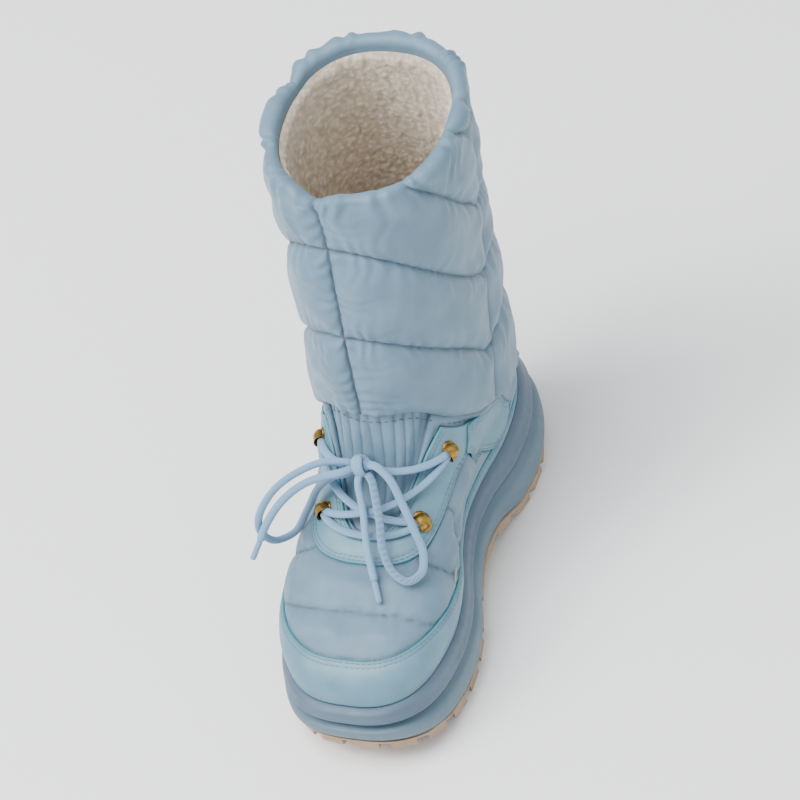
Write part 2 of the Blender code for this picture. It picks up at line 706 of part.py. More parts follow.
def main():
    """Clears the scene and builds the boot."""
    for old in list(bpy.data.objects):
        bpy.data.objects.remove(old)
    for name in ("apres_ski_boot", "helpers"):
        group = bpy.data.collections.get(name) or bpy.data.collections.new(name)
        if group.name not in bpy.context.scene.collection.children:
            bpy.context.scene.collection.children.link(group)
    build_midsole()
    build_outsole()
    build_insole()
    build_upper()
    build_mudguard()
    build_shaft()
    build_tongue()
    build_eyestay()
    build_strap("ankle_strap_medial", 1)
    build_strap("ankle_strap_lateral", -1)
    for hook in HOOKS:
        build_hook(*hook)
    build_crossings()
    build_knot()
    tube("lace_loop_lateral", LOOP_LATERAL, LACE_RADIUS, "cord", CORD)
    tube("lace_loop_medial", LOOP_MEDIAL, LACE_RADIUS, "cord", CORD)
    tube("lace_end_lateral", END_LATERAL, LACE_RADIUS, "cord", CORD)
    tube("lace_end_medial", END_MEDIAL, LACE_RADIUS, "cord", CORD)
    build_tip("lace_tip_lateral", END_LATERAL)
    build_tip("lace_tip_medial", END_MEDIAL)


main()
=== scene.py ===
"""Looks of the apres ski boot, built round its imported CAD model.

Sizes are in millimetres in the tables and in metres in the scene. The toe points to -Y, the inner side
of the foot to +X. A place on the boot is an angle from the toe, in degrees or radians, positive on the
inner side, and a level in rings from the sole to the collar, as in the CAD model.
"""
import math

import bpy
import numpy as np
from mathutils import Matrix, Vector


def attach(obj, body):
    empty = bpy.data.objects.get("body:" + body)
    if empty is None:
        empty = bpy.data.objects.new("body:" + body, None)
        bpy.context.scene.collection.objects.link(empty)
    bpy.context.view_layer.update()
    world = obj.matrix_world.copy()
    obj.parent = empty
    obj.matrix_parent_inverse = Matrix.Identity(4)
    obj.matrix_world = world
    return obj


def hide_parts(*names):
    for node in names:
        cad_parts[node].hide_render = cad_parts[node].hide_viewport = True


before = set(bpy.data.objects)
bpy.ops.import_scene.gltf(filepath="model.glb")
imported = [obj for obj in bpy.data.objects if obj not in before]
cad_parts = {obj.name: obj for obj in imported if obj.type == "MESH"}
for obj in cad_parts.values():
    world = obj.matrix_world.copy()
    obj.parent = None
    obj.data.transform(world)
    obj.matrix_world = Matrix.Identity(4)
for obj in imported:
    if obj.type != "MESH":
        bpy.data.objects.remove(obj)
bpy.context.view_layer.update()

bl_info = {
    "name": "Apres ski boot looks",
    "version": (1, 0, 0),
    "blender": (4, 5, 0),
    "location": "View3D > Sidebar > Boot",
    "description": "Builds the visible surfaces of a quilted winter boot",
    "category": "Object",
}

MM = 0.001

# The form, as in the CAD model
TOE_Y = -240.0
HEEL_Y = 53.0
OUTSOLE_THICK = 8.0
UPPER_INSET = 7.8
TOE_LEAN = 1.4
HEEL_LEAN = 2.4
RIM_DEPTH = 9.5
UPPER_WALL = 2.0
OVERLAY_THICK = 1.3
OVERLAY_GAP = 1.15
RAND_GAP = 0.6
SHAFT_WALL = 4.0

# The sole from toe to heel: place along Y, middle, half width, rim height, tread height
SOLE = np.array([
    (-240, 5, 63.0, 49.0, 18.5),
    (-215, 3, 64.0, 46.5, 7.0),
    (-188, 0, 63.5, 46.0, 1.0),
    (-165, -2, 62.0, 46.0, 0.0),
    (-140, -4, 58.0, 47.0, 0.0),
    (-112, -6, 50.0, 48.5, 0.6),
    (-85, -5, 44.0, 50.5, 7.0),
    (-60, -3, 44.0, 53.5, 8.0),
    (-32, 0, 48.0, 57.0, 0.0),
    (-5, 1, 52.0, 61.5, 0.0),
    (20, 1, 53.0, 65.5, 0.0),
    (53, 0, 53.0, 69.5, 5.0),
], float)
ALONG, MIDDLE, HALF, RIM, TREAD = SOLE.T

# The midsole's side from the bottom up: part of its height, inset from the widest outline
SIDE = np.array([
    (0.00, 3.2),
    (0.12, 0.9),
    (0.28, 0.0),
    (0.44, 0.9),
    (0.53, 3.6),
    (0.60, 3.4),
    (0.66, 1.9),
    (0.82, 2.6),
    (0.95, 4.0),
    (1.00, 5.6),
])

# Rings from the sole to the collar: front Y, front Z, back Y, back Z, half width, middle, power of
# the oval, and how far the ring has left the sole's outline
RINGS = np.array([
    (-229, 37.5, 34.3, 58.0, 44, 0, 2.8, 0.00),
    (-229, 47.0, 34.3, 67.5, 44, 0, 2.8, 0.00),
    (-225, 57.5, 36.0, 75.5, 45, 0, 2.8, 0.00),
    (-213, 68.0, 37.0, 83.5, 47, 0, 2.8, 0.10),
    (-187, 78.5, 37.5, 93.0, 48, 0, 2.6, 0.35),
    (-161, 88.0, 38.0, 104.0, 48, 0, 2.5, 0.65),
    (-139, 98.5, 39.0, 117.0, 47, 0, 2.4, 0.90),
    (-117, 118.0, 41.0, 133.0, 47, 0, 2.3, 1.00),
    (-99, 157.0, 43.0, 156.0, 47, 0, 2.3, 1.00),
    (-94, 192.0, 43.0, 192.0, 47, 1.5, 2.3, 1.00),
    (-87, 234.0, 42.0, 234.0, 48, 4, 2.3, 1.00),
    (-78, 274.0, 41.0, 280.0, 51, 6, 2.3, 1.00),
    (-70, 312.0, 40.0, 327.0, 54, 7, 2.3, 1.00),
], float)
ANKLE, COLLAR = 8.0, 12.0

# Levels where the pieces begin and end
UPPER_FOOT = 0.6
LINING_FOOT = 0.62
RAND_FOOT = 1.03
TONGUE_FOOT = 5.45
ROLL_FOOT = COLLAR - 0.12
LINING_TOP = COLLAR - 0.2

# Edges of the pieces: degrees from the toe, level in rings
SEAM = (
    (0, 7.95), (30, 7.9), (50, 7.55), (70, 7.1), (90, 6.4), (108, 5.1), (124, 3.7), (140, 2.75), (180, 2.35),
)
RAND = ((0, 3.05), (40, 3.0), (60, 2.85), (75, 2.6), (95, 2.35), (125, 2.3), (180, 2.15))
THROAT = ((0, 5.95), (8, 6.0), (14, 6.2), (19, 6.5), (27, 7.0), (35, 7.46), (46, 8.0))

# The eyestay from the bottom of its U to its top end: inner degrees and level, outer degrees and level
EYESTAY = np.array([
    (0.0, 5.88, 0.0, 5.12),
    (7.0, 5.90, 15.0, 5.08),
    (12.5, 6.02, 30.0, 5.00),
    (17.0, 6.22, 44.0, 5.03),
    (22.0, 6.54, 53.0, 5.35),
    (27.5, 6.86, 57.0, 5.75),
    (33.0, 7.16, 62.0, 6.15),
    (39.0, 7.34, 71.0, 6.40),
    (46.0, 7.48, 70.0, 7.00),
], float)

# The ankle strap from the eyestay to the heel: degrees and level of its top and bottom edges
STRAP = np.array([
    (65.5, 7.06, 66.5, 6.42),
    (71.5, 6.98, 72.5, 6.12),
    (80.0, 6.68, 81.0, 5.40),
    (88.0, 6.32, 88.5, 4.60),
    (96.0, 5.85, 95.5, 3.75),
    (103.0, 5.25, 101.5, 2.85),
    (110.0, 4.35, 104.5, 2.42),
    (117.0, 3.20, 109.0, 2.26),
], float)

# Sewn lines across the vamp and the quarters: degrees and level
VAMP_LINE = (
    (-50, 3.1), (-41, 3.43), (-27, 3.76), (-13, 3.98), (3, 4.06), (22, 3.9), (35, 3.58), (46, 3.19),
    (51, 3.0),
)
CORNER_SEAM = ((32, 5.05), (40, 4.7), (49, 4.33), (58, 3.9), (67, 3.39), (74, 2.9), (80, 2.4))
QUARTER_ARC = ((49, 5.8), (57, 5.45), (65, 4.97), (74, 4.1), (82, 3.0), (86, 2.3))

# The shaft's front seam: level and degrees
FRONT_SEAM = ((8, -3.5), (9.2, -4.5), (10.5, -6.8), (11.1, -7.8), (11.6, -10), (12, -13))

# Lace hooks: name, side, degrees from the toe, level
HOOKS = (
    ("hook_1", 1, 34.5, 5.85),
    ("hook_2", 1, 50.5, 7.0),
    ("hook_3", -1, 34.5, 5.85),
    ("hook_4", -1, 50.5, 7.0),
)

# The lace between its hooks: degrees and level at both ends
CROSSINGS = (
    ((33.5, 5.82), (-33.5, 5.82)),
    ((33.5, 5.92), (-49.5, 6.98)),
    ((-33.5, 5.92), (49.5, 6.98)),
)
LACE_OUT = 5.0
LACE_WIDE = 4.8
KNOT = (-4.0, -117.5, 131.5)
KNOT_RADII = (7.0, 5.0, 5.5)

# Routes of the free lace, in millimetres
LOOP_LATERAL = (
    (-14, -120, 135), (-24, -122, 136), (-38, -129, 134), (-52, -143, 129.5), (-60, -154, 118),
    (-62, -154, 102), (-58, -147.5, 89), (-51, -138.5, 86.5), (-43, -130, 98), (-32, -125, 116),
    (-21, -123.5, 125), (-13, -122.5, 127.5),
)
LOOP_MEDIAL = (
    (6, -120.5, 135), (14.5, -124.5, 131), (23, -132.5, 118.5), (31, -142, 107), (37, -150, 96),
    (37.5, -160, 90), (31.5, -167, 90), (23, -165, 94), (15.5, -156, 103), (11.5, -143, 114.5),
    (6.5, -131, 124), (4.5, -126.5, 127.5),
)
END_LATERAL = (
    (-13, -126, 133), (-24, -129, 131), (-37, -135, 128), (-48, -145, 122.5), (-55, -155.5, 115),
    (-60, -162, 105),
)
END_MEDIAL = (
    (-5, -126, 126), (-3, -132, 119.5), (-0.5, -138, 114.5), (2, -146, 109), (5, -155, 102.5),
    (8.5, -163, 96), (12.5, -171, 91),
)
TIP_LENGTH = 13.0
TIP_RADIUS = 1.8

# The shaft's quilting: lines that fall from the front seam to the side seams
LINE_Z = 214.0
LINE_STEP = 60.0
LINE_FALL = 26.8
SIDE_SEAM = 1.6

# Millimetres to one radian round the boot, and to one ring up the shaft
ROUND = 50.0
RING_STEP = 38.0

# Distances of the two rows of stitches from a leather edge
ROWS_IN = (1.9, 4.0)

# One wave of a sine in radians, and the number of waves that make uneven ground
WAVE = 6.28
RIPPLES = 8

# Spacing of points along sewn lines and along cords
LINE_SPACING = 0.8
CORD_SPACING = 0.75

# The point that the camera looks at
AIM = (6.0, -72.0, 138.0)

# The point that the lamps face, in metres
LAMP_AIM = (0, -0.08, 0.14)


def smooth(x, xs, ys):
    """Value at x of the cubic curve through the points xs, ys, with slopes from their neighbours."""
    xs, ys = np.asarray(xs, float), np.asarray(ys, float)
    x = np.clip(x, xs[0], xs[-1])
    width = np.diff(xs)
    rise = np.diff(ys) / width
    inner = (rise[:-1] * width[1:] + rise[1:] * width[:-1]) / (width[:-1] + width[1:])
    slope = np.concatenate([rise[:1], inner, rise[-1:]])
    i = np.clip(np.searchsorted(xs, x, side="right") - 1, 0, len(xs) - 2)
    t = (x - xs[i]) / width[i]
    start = (1 + 2 * t) * (1 - t) ** 2 * ys[i] + t * (1 - t) ** 2 * width[i] * slope[i]
    end = t * t * (3 - 2 * t) * ys[i + 1] + t * t * (t - 1) * width[i] * slope[i + 1]
    return start + end


def table_at(table, places):
    """A table's columns at places between its rows, on the smooth curve through each column."""
    return [smooth(places, np.arange(len(table)), column) for column in np.asarray(table, float).T]


def unit(vectors):
    """Vectors brought to a length of 1."""
    return vectors / np.linalg.norm(vectors, axis=-1, keepdims=True)


def circle(count):
    """Even angles once round."""
    return np.arange(count) * 2 * math.pi / count


def fade(distance, reach):
    """From 0 at no distance to 1 at the reach, in a straight line."""
    return np.clip(distance / reach, 0, 1)


def dome(distance, reach):
    """From 0 at no distance to 1 at the reach, as a quarter circle that ends level."""
    return np.sqrt(1 - (1 - fade(distance, reach)) ** 2)


def bell(distance, width):
    """A bell curve: 1 at no distance, one over e at its width."""
    return np.exp(-(distance / width) ** 2)


def decay(distance, reach):
    """From 1 at no distance, a fall by e for each reach."""
    return np.exp(-distance / reach)


def wrapped(turn):
    """Angle from the toe in radians, positive on the inner side."""
    return (np.asarray(turn, float) + math.pi) % (2 * math.pi) - math.pi


def from_toe(turn):
    """Angle from the toe without its side, in radians."""
    return np.abs(wrapped(turn))


def at_turn(turn, table):
    """A table's level at an angle from the toe, the same on both sides of the boot."""
    table = np.asarray(table, float)
    return smooth(np.degrees(from_toe(turn)), table[:, 0], table[:, 1])


def oval(turn, power):
    """Cosine and sine of an oval that gets squarer as its power grows."""
    c, s = np.cos(turn), np.sin(turn)
    return np.sign(c) * np.abs(c) ** (2 / power), np.sign(s) * np.abs(s) ** (2 / power)


def sole_ring(turn, inset):
    """X and Y of the sole's outline, moved in by the inset."""
    c, s = oval(turn, RINGS[0, 6])
    front, back = TOE_Y + inset * TOE_LEAN, HEEL_Y - inset * HEEL_LEAN
    y = (front + back) / 2 - (back - front) / 2 * c
    return smooth(y, ALONG, MIDDLE) + s * (smooth(y, ALONG, HALF) - inset), y


def boot_form(turn, level):
    """Points of the boot's plain outer form, by angle from the toe and level in rings."""
    turn, level = np.broadcast_arrays(np.asarray(turn, float), np.asarray(level, float))
    front, front_z, back, back_z, half, middle, power, plain = table_at(RINGS, level)
    c, s = oval(turn, power)
    y = (front + back) / 2 - (back - front) / 2 * c
    bulge = smooth(level, (1, 2, 3, 4), (0, 2.0, 2.0, 0))
    half = (1 - plain) * (smooth(y, ALONG, HALF) - UPPER_INSET + bulge) + plain * half
    x = (1 - plain) * smooth(y, ALONG, MIDDLE) + plain * middle + s * half
    part = (y - front) / (back - front)
    rim_line = RINGS[1, 1] + (RINGS[1, 3] - RINGS[1, 1]) * part
    z = front_z + (back_z - front_z) * part + (1 - plain) * (smooth(y, ALONG, RIM) - rim_line)
    return np.stack([x, y, z], axis=-1)


def outward(turn, level):
    """Unit normals of the plain form, from small steps along its two directions."""
    step = 0.03
    around = boot_form(turn + step, level) - boot_form(turn - step, level)
    up = boot_form(turn, np.minimum(level + step, COLLAR)) - boot_form(turn, np.maximum(level - step, 0))
    return unit(np.cross(around, up))


def boot_point(turn, level, out=0.0):
    """A point of the plain form, moved out along its normal."""
    turn, level = np.broadcast_arrays(np.asarray(turn, float), np.asarray(level, float))
    return boot_form(turn, level) + outward(turn, level) * np.asarray(out, float)[..., None]


def ripple(x, y, size, seed):
    """Gentle uneven height from -1 to 1 or so: a sum of sine waves of about one size in all directions."""
    chance = np.random.default_rng(seed)
    total = 0
    for angle, phase, pitch in chance.uniform((0, 0, 0.7), (WAVE, WAVE, 1.5), (RIPPLES, 3)):
        total = total + np.sin(WAVE * pitch * (x * math.cos(angle) + y * math.sin(angle)) / size + phase)
    return total / math.sqrt(RIPPLES)


def tuck_wave(along, pitch, sway, distance, reach, start):
    """Tucks that cross a sewn line: a sine along the line that grows over a short start beside it and
    decays away from it."""
    return np.sin(WAVE * along / pitch + sway) * decay(distance, reach) * fade(distance, start)


def dense_turns(count):
    """Even angles once round the boot, closer together at the toe, the sides and the heel."""
    even = circle(count)
    return even - 0.12 * np.sin(4 * even)


def run_along(points, axis):
    """Length run along one axis of a grid of points, from zero at its start."""
    steps = np.linalg.norm(np.diff(points, axis=axis), axis=-1)
    start = np.zeros_like(np.take(steps, [0], axis=axis))
    return np.concatenate([start, np.cumsum(steps, axis=axis)], axis=axis)


def line_points(table):
    """Points closely spaced along a line on the form that is given by degrees and levels."""
    degrees, level = table_at(table, np.linspace(0, len(table) - 1, 400))
    run = run_along(boot_form(np.radians(degrees), level), 0)
    places = np.arange(0, run[-1], LINE_SPACING)
    return np.radians(np.interp(places, run, degrees)), np.interp(places, run, level)


def resample(places, run, points):
    """Points at places along a curve, from its points and the length run to each."""
    return np.stack([np.interp(places, run, column) for column in points.T], axis=1)


def nearest(points, line):
    """Distance from each point of a grid to a line of close points, and how far along it that is."""
    flat = points.reshape(-1, 3).astype(np.float32)
    line = line.astype(np.float32)
    square = (flat ** 2).sum(1)[:, None] + (line ** 2).sum(1)[None] - 2 * flat @ line.T
    best = square.argmin(1)
    distance = np.sqrt(np.maximum(square[np.arange(len(flat)), best], 0))
    along = run_along(line, 0)[best]
    return distance.reshape(points.shape[:2]), along.reshape(points.shape[:2])


def inside(turn, level, outline):
    """Whether each place lies in a closed outline of degrees and levels, by counting crossed sides."""
    x, y = np.degrees(wrapped(turn)), level
    found = np.zeros(np.broadcast(x, y).shape, bool)
    for (x0, y0), (x1, y1) in zip(outline, np.roll(outline, -1, axis=0)):
        crosses = (y0 > y) != (y1 > y)
        found ^= crosses & (x < (x1 - x0) * (y - y0) / ((y1 - y0) or 1e-9) + x0)
    return found


# Meshes from grids

def grid_mesh(name, points, material, wrap=False, roll=False, ends=False, marks=None):
    """An object from a grid of points in millimetres, rows by columns, with one quad per cell. wrap
    closes it across its columns and roll across its rows; ends closes the two sides of a rolled
    grid. The UV map is in millimetres along the rows and columns. marks are values for each point."""
    rows, columns = points.shape[:2]
    r, c = np.meshgrid(np.arange(rows if roll else rows - 1), np.arange(columns if wrap else columns - 1),
                       indexing="ij")
    corner_r = np.stack([r, r, r + 1, r + 1], -1).reshape(-1, 4)
    corner_c = np.stack([c, c + 1, c + 1, c], -1).reshape(-1, 4)
    faces = (corner_r % rows) * columns + corner_c % columns
    closed = np.concatenate([points, points[:, :1]], 1)
    closed = np.concatenate([closed, closed[:1]], 0)
    u = run_along(closed[rows // 4][None], 1)[0]
    v = run_along(closed, 0)
    uv = np.stack([u[corner_c], v[corner_r, corner_c]], -1)
    if ends:
        low = np.arange(rows // 2 - 1)
        caps = [
            np.stack([low, low + 1, rows - 2 - low, rows - 1 - low], -1) * columns + column
            for column in (0, columns - 1)
        ]
        caps[1] = caps[1][:, ::-1]
        faces = np.concatenate([faces, *caps])
        uv = np.concatenate([uv, np.zeros((2 * len(low), 4, 2))])
    return finished_mesh(name, points.reshape(-1, 3), faces, material, uv, marks)


def finished_mesh(name, points, faces, material, uv=None, marks=None):
    """A smooth-shaded object from points in millimetres and quads, turned the right way out."""
    mesh = bpy.data.meshes.new(name)
    mesh.from_pydata((points * MM).tolist(), [], np.asarray(faces).tolist())
    if uv is not None:
        mesh.uv_layers.new(name="UVMap").data.foreach_set("uv", np.asarray(uv, np.float32).ravel())
    for key, values in (marks or {}).items():
        layer = mesh.attributes.new(key, "FLOAT", "POINT").data
        layer.foreach_set("value", np.asarray(values, np.float32).ravel())
    mesh.polygons.foreach_set("use_smooth", np.ones(len(mesh.polygons), bool))
    a, b, c = (points[np.asarray(faces)[:, i]] for i in range(3))
    if (np.cross(a, b) * c).sum() < 0:
        mesh.flip_normals()
    mesh.update()
    made = bpy.data.objects.new(name, mesh)
    bpy.context.scene.collection.objects.link(made)
    made.data.materials.append(material)
    return made


def wall(name, outer, inner, material, wrap, marks=None):
    """A closed wall from an outer and an inner grid. Marks are for the outer grid and fade to 0 inside."""
    points = np.concatenate([outer, inner[::-1]])
    both = {key: np.concatenate([value, np.zeros(inner.shape[:2])]) for key, value in (marks or {}).items()}
    return grid_mesh(name, points, material, wrap=wrap, roll=True, ends=not wrap, marks=both)


def stack(name, rings, material, marks=None):
    """A closed solid from rings of points, with a point in the middle of the first and the last."""
    rings = np.asarray(rings)
    middle = np.array([rings[0].mean(0), rings[-1].mean(0)])
    low = np.broadcast_to(middle[0], rings[:1].shape)
    high = np.broadcast_to(middle[1], rings[:1].shape)
    both = {key: np.concatenate([value[:1], value, value[-1:]]) for key, value in (marks or {}).items()}
    return grid_mesh(name, np.concatenate([low, rings, high]), material, wrap=True, marks=both)


def tube(name, points, wide, thick, material):
    """A closed tube of oval section along a smooth curve, with rounded ends. Its width lies in the
    plane that the curve nearly lies in, whose normal is found as the least of its three spreads."""
    points = np.asarray(points, float)
    route = smooth_route(points)
    tangent = unit(np.gradient(route, axis=0))
    flat = np.linalg.svd(points - points.mean(0))[2][2]
    side = unit(np.cross(tangent, flat))
    over = np.cross(side, tangent)
    angle = circle(20)
    run = run_along(route, 0)
    size = dome(np.minimum(run, run[-1] - run) + 0.02, thick / 2)
    ring = (side[:, None] * np.cos(angle)[None, :, None] * wide / 2
            + over[:, None] * np.sin(angle)[None, :, None] * thick / 2)
    return stack(name, route[:, None] + ring * size[:, None, None], material), route


def smooth_route(points):
    """Points at an even spacing along the smooth curve through a route's own points."""
    run = run_along(points, 0)
    dense = np.linspace(0, run[-1], 600)
    curve = np.stack([smooth(dense, run, column) for column in points.T], axis=1)
    length = run_along(curve, 0)
    places = np.linspace(0, length[-1], max(6, int(length[-1] / CORD_SPACING)))
    return resample(places, length, curve)


def stitches(name, lines, material, radius, length=2.2, gap=1.1, out=0.0):
    """Sewn stitches along lines on the boot. Each line is its angles and levels and a height. A
    stitch is a small long bead: its template's points are copied to every place at once."""
    starts, ends, normals = [], [], []
    for turn, level, height in lines:
        curve = boot_point(turn, level, height + out)
        run = run_along(curve, 0)
        first = np.arange(gap, run[-1] - length, length + gap)
        starts.append(resample(first, run, curve))
        ends.append(resample(first + length, run, curve))
        normals.append(resample(first, run, outward(turn, level)))
    starts, ends, normals = (np.concatenate(values) for values in (starts, ends, normals))
    along = ends - starts
    side = unit(np.cross(along, normals))
    rings, sides = 5, 6
    share = np.linspace(0, 1, rings)
    swell = np.maximum(np.sin(math.pi * share), 0.25) ** 0.5 * radius
    angle = circle(sides)
    bead = (starts[:, None, None] + along[:, None, None] * share[None, :, None, None]
            + side[:, None, None] * (swell[:, None] * np.cos(angle))[None, :, :, None]
            + normals[:, None, None] * (swell[:, None] * np.sin(angle))[None, :, :, None])
    ring, corner = np.meshgrid(np.arange(rings - 1), np.arange(sides), indexing="ij")
    following = (corner + 1) % sides
    quads = np.stack([ring * sides + corner, ring * sides + following, (ring + 1) * sides + following,
                      (ring + 1) * sides + corner], -1).reshape(-1, 4)
    caps = np.array([(0, 1, 2, 3), (0, 3, 4, 5), (27, 26, 25, 24), (24, 29, 28, 27)])
    template = np.concatenate([quads, caps])
    faces = (template[None] + np.arange(len(starts))[:, None, None] * rings * sides).reshape(-1, 4)
    return finished_mesh(name, bead.reshape(-1, 3), faces, material)


# Materials

def colour(code):
    """Linear red, green, blue and alpha of a colour written as six hex digits."""
    parts = [int(code[i:i + 2], 16) / 255 for i in (0, 2, 4)]
    return (*(p / 12.92 if p <= 0.04045 else ((p + 0.055) / 1.055) ** 2.4 for p in parts), 1.0)


def node(tree, kind, inputs=None, out=0, **settings):
    """Adds a node, sets its attributes, sets or links its inputs by name or number, and gives an output."""
    made = tree.nodes.new("ShaderNode" + kind)
    for key, value in settings.items():
        setattr(made, key, value)
    for key, value in (inputs or {}).items():
        if isinstance(value, bpy.types.NodeSocket):
            tree.links.new(value, made.inputs[key])
        else:
            made.inputs[key].default_value = value
    return made.outputs[out]


def chosen(name):
    """The two shades that the settings hold for a material."""
    settings = bpy.context.scene.boot_settings
    return tuple(getattr(settings, name)), tuple(getattr(settings, name + "_light"))


def patches(tree, size, detail, roughness=0.5):
    """An uneven pattern in object coordinates, with features of a size in millimetres."""
    place = node(tree, "TexCoord", out="Object")
    return node(tree, "TexNoise", {
        "Vector": place, "Scale": 1000 / size, "Detail": detail, "Roughness": roughness})


def pebbles(tree, size):
    """Rounded grains of a size in millimetres, low in their middles."""
    place = node(tree, "TexCoord", out="Object")
    return node(tree, "TexVoronoi", {"Vector": place, "Scale": 1000 / size, "Randomness": 1.0},
                feature="SMOOTH_F1")


def threads(tree, pitch, skew=0.0):
    """Two crossing sine waves in the UV map, of a pitch in millimetres: threads over and under."""
    def sum_of(kind, first, second, share):
        part = node(tree, "Math", {0: second, 1: share}, operation="MULTIPLY")
        return node(tree, "Math", {0: first, 1: part}, operation=kind)

    def sine(value):
        turns = node(tree, "Math", {0: value, 1: 2 * math.pi / pitch}, operation="MULTIPLY")
        return node(tree, "Math", {0: turns}, operation="SINE")

    u = node(tree, "SeparateXYZ", {0: node(tree, "UVMap", uv_map="UVMap")})
    v = u.node.outputs[1]
    first, second = sine(sum_of("ADD", u, v, skew)), sine(sum_of("SUBTRACT", v, u, skew))
    return node(tree, "Math", {0: first, 1: second}, operation="MULTIPLY")


def blend(tree, pattern, low, high, first, second):
    """The first colour where a pattern is low, the second where it is high."""
    share = node(tree, "MapRange", {"Value": pattern, "From Min": low, "From Max": high})
    return node(tree, "Mix", {0: share, 6: first, 7: second}, out=2, data_type="RGBA")


def marked(tree, base, name, strength, shade):
    """A base colour with a shade over it where the mesh's points are marked."""
    painted = node(tree, "Attribute", out="Fac", attribute_name=name)
    share = node(tree, "Math", {0: painted, 1: strength}, operation="MULTIPLY")
    return node(tree, "Mix", {0: share, 6: base, 7: shade}, out=2, data_type="RGBA")


def start_material(name, roughness, **sockets):
    """A new material and its node tree, with constant values set on its shader."""
    made = bpy.data.materials.new(name)
    made.use_nodes = True
    shader = made.node_tree.nodes["Principled BSDF"].inputs
    shader["Roughness"].default_value = roughness
    for key, value in sockets.items():
        shader[key.replace("_", " ")].default_value = value
    return made, made.node_tree


def finish(tree, base, layers=(), uneven=None):
    """Links a base colour, bumps in a chain and an uneven roughness to the shader. A bump is a height
    from 0 to 1 and its depth in millimetres. uneven is a patch size, its detail, and the lowest and
    highest roughness."""
    shader = tree.nodes["Principled BSDF"].inputs
    tree.links.new(base, shader["Base Color"])
    if uneven:
        size, detail, low, high = uneven
        tree.links.new(node(tree, "MapRange", {
            "Value": patches(tree, size, detail), "From Min": 0.3, "From Max": 0.7,
            "To Min": low, "To Max": high}), shader["Roughness"])
    under = {}
    for height, depth in layers:
        under = {"Normal": node(tree, "Bump", {
            "Height": height, "Distance": depth * MM, "Strength": 1.0, **under})}
    if under:
        tree.links.new(under["Normal"], shader["Normal"])


def shell_nylon():
    """Downproof nylon: a fine plain weave with a soft sheen. Painted shade darkens it along its sewn lines
    and in its creases. The weave is drawn coarser than the real one, 0.55 mm from thread to thread, so that
    it can show."""
    made, tree = start_material(
        "shell_nylon", 0.5, Sheen_Weight=0.25, Sheen_Roughness=0.4, Sheen_Tint=colour("dfe9ef"))
    cloth = blend(tree, patches(tree, 28, 3), 0.35, 0.65, *chosen("nylon"))
    # Painted shade: colour 33495a is laid over the cloth where its points are marked along sewn lines, folds
    # and leather edges.
    cloth = marked(tree, cloth, "crease", 0.75, colour("33495a"))
    layers = ((patches(tree, 16, 3), 0.5), (patches(tree, 4, 2), 0.12), (threads(tree, 0.55), 0.02))
    finish(tree, cloth, layers, (9, 2, 0.44, 0.56))
    return made


def tumbled_leather():
    """Fine-grained coated leather with teal dye at its cut edges and painted shade in the grooves of its
    stitch rows.
    """
    made, tree = start_material("tumbled_leather", 0.45, Coat_Weight=0.08, Coat_Roughness=0.35)
    hide = blend(tree, patches(tree, 22, 4), 0.35, 0.65, *chosen("leather"))
    # Painted shade: colour 45697a darkens the grooves that the stitch rows press in.
    hide = marked(tree, hide, "crease", 0.45, colour("45697a"))
    hide = marked(tree, hide, "edge", 1.0, colour("2f8390"))
    finish(tree, hide, ((patches(tree, 11, 3), 0.25), (pebbles(tree, 0.9), 0.06)), (6, 3, 0.4, 0.52))
    return made


def moulded_foam():
    """Moulded sole foam in two shades, with a fine skin, faint scuffs and painted shade in the groove between
    its tiers.
    """
    made, tree = start_material("moulded_foam", 0.55)
    skin = blend(tree, patches(tree, 35, 3), 0.35, 0.65, *chosen("foam"))
    lower = blend(tree, patches(tree, 30, 3), 0.35, 0.65, colour("526a79"), colour("5a7280"))
    # Painted shade: colour 364856 darkens the groove between the two tiers.
    both = marked(tree, marked(tree, skin, "lower", 1.0, lower), "crease", 0.7, colour("364856"))
    finish(tree, both, ((patches(tree, 7, 3), 0.12), (patches(tree, 0.8, 2), 0.05)), (5, 3, 0.48, 0.62))
    return made


def tread_rubber():
    """Tan tread rubber with a matt, slightly scuffed skin."""
    made, tree = start_material("tread_rubber", 0.7)
    skin = blend(tree, patches(tree, 18, 4), 0.35, 0.65, colour("9c846c"), colour("a9927c"))
    finish(tree, skin, ((patches(tree, 4, 3), 0.12), (patches(tree, 0.7, 2), 0.05)), (3, 3, 0.62, 0.8))
    return made


def pile_fleece():
    """Beige pile fleece: clumped curls of fibre, with painted shade in the hollows between the clumps."""
    made, tree = start_material(
        "pile_fleece", 0.95, Sheen_Weight=0.6, Sheen_Roughness=0.6, Sheen_Tint=colour("f4ece0"))
    clump = pebbles(tree, 3.2)
    # Painted shade: the darker beige b7a791 lies between the clumps, where the bump sinks them.
    pile = blend(tree, clump, 0.05, 0.6, colour("ded2c2"), colour("b7a791"))
    finish(tree, pile, ((clump, -1.2), (patches(tree, 0.9, 4, 0.7), 0.7)))
    return made


def antique_brass():
    """Cast brass with a dark patina in small uneven patches."""
    made, tree = start_material("antique_brass", 0.36, Metallic=1.0)
    metal = blend(tree, patches(tree, 3.2, 4), 0.4, 0.68, colour("a88642"), colour("5e4a26"))
    finish(tree, metal, ((patches(tree, 1.6, 3), 0.08),), (2, 3, 0.28, 0.5))
    return made


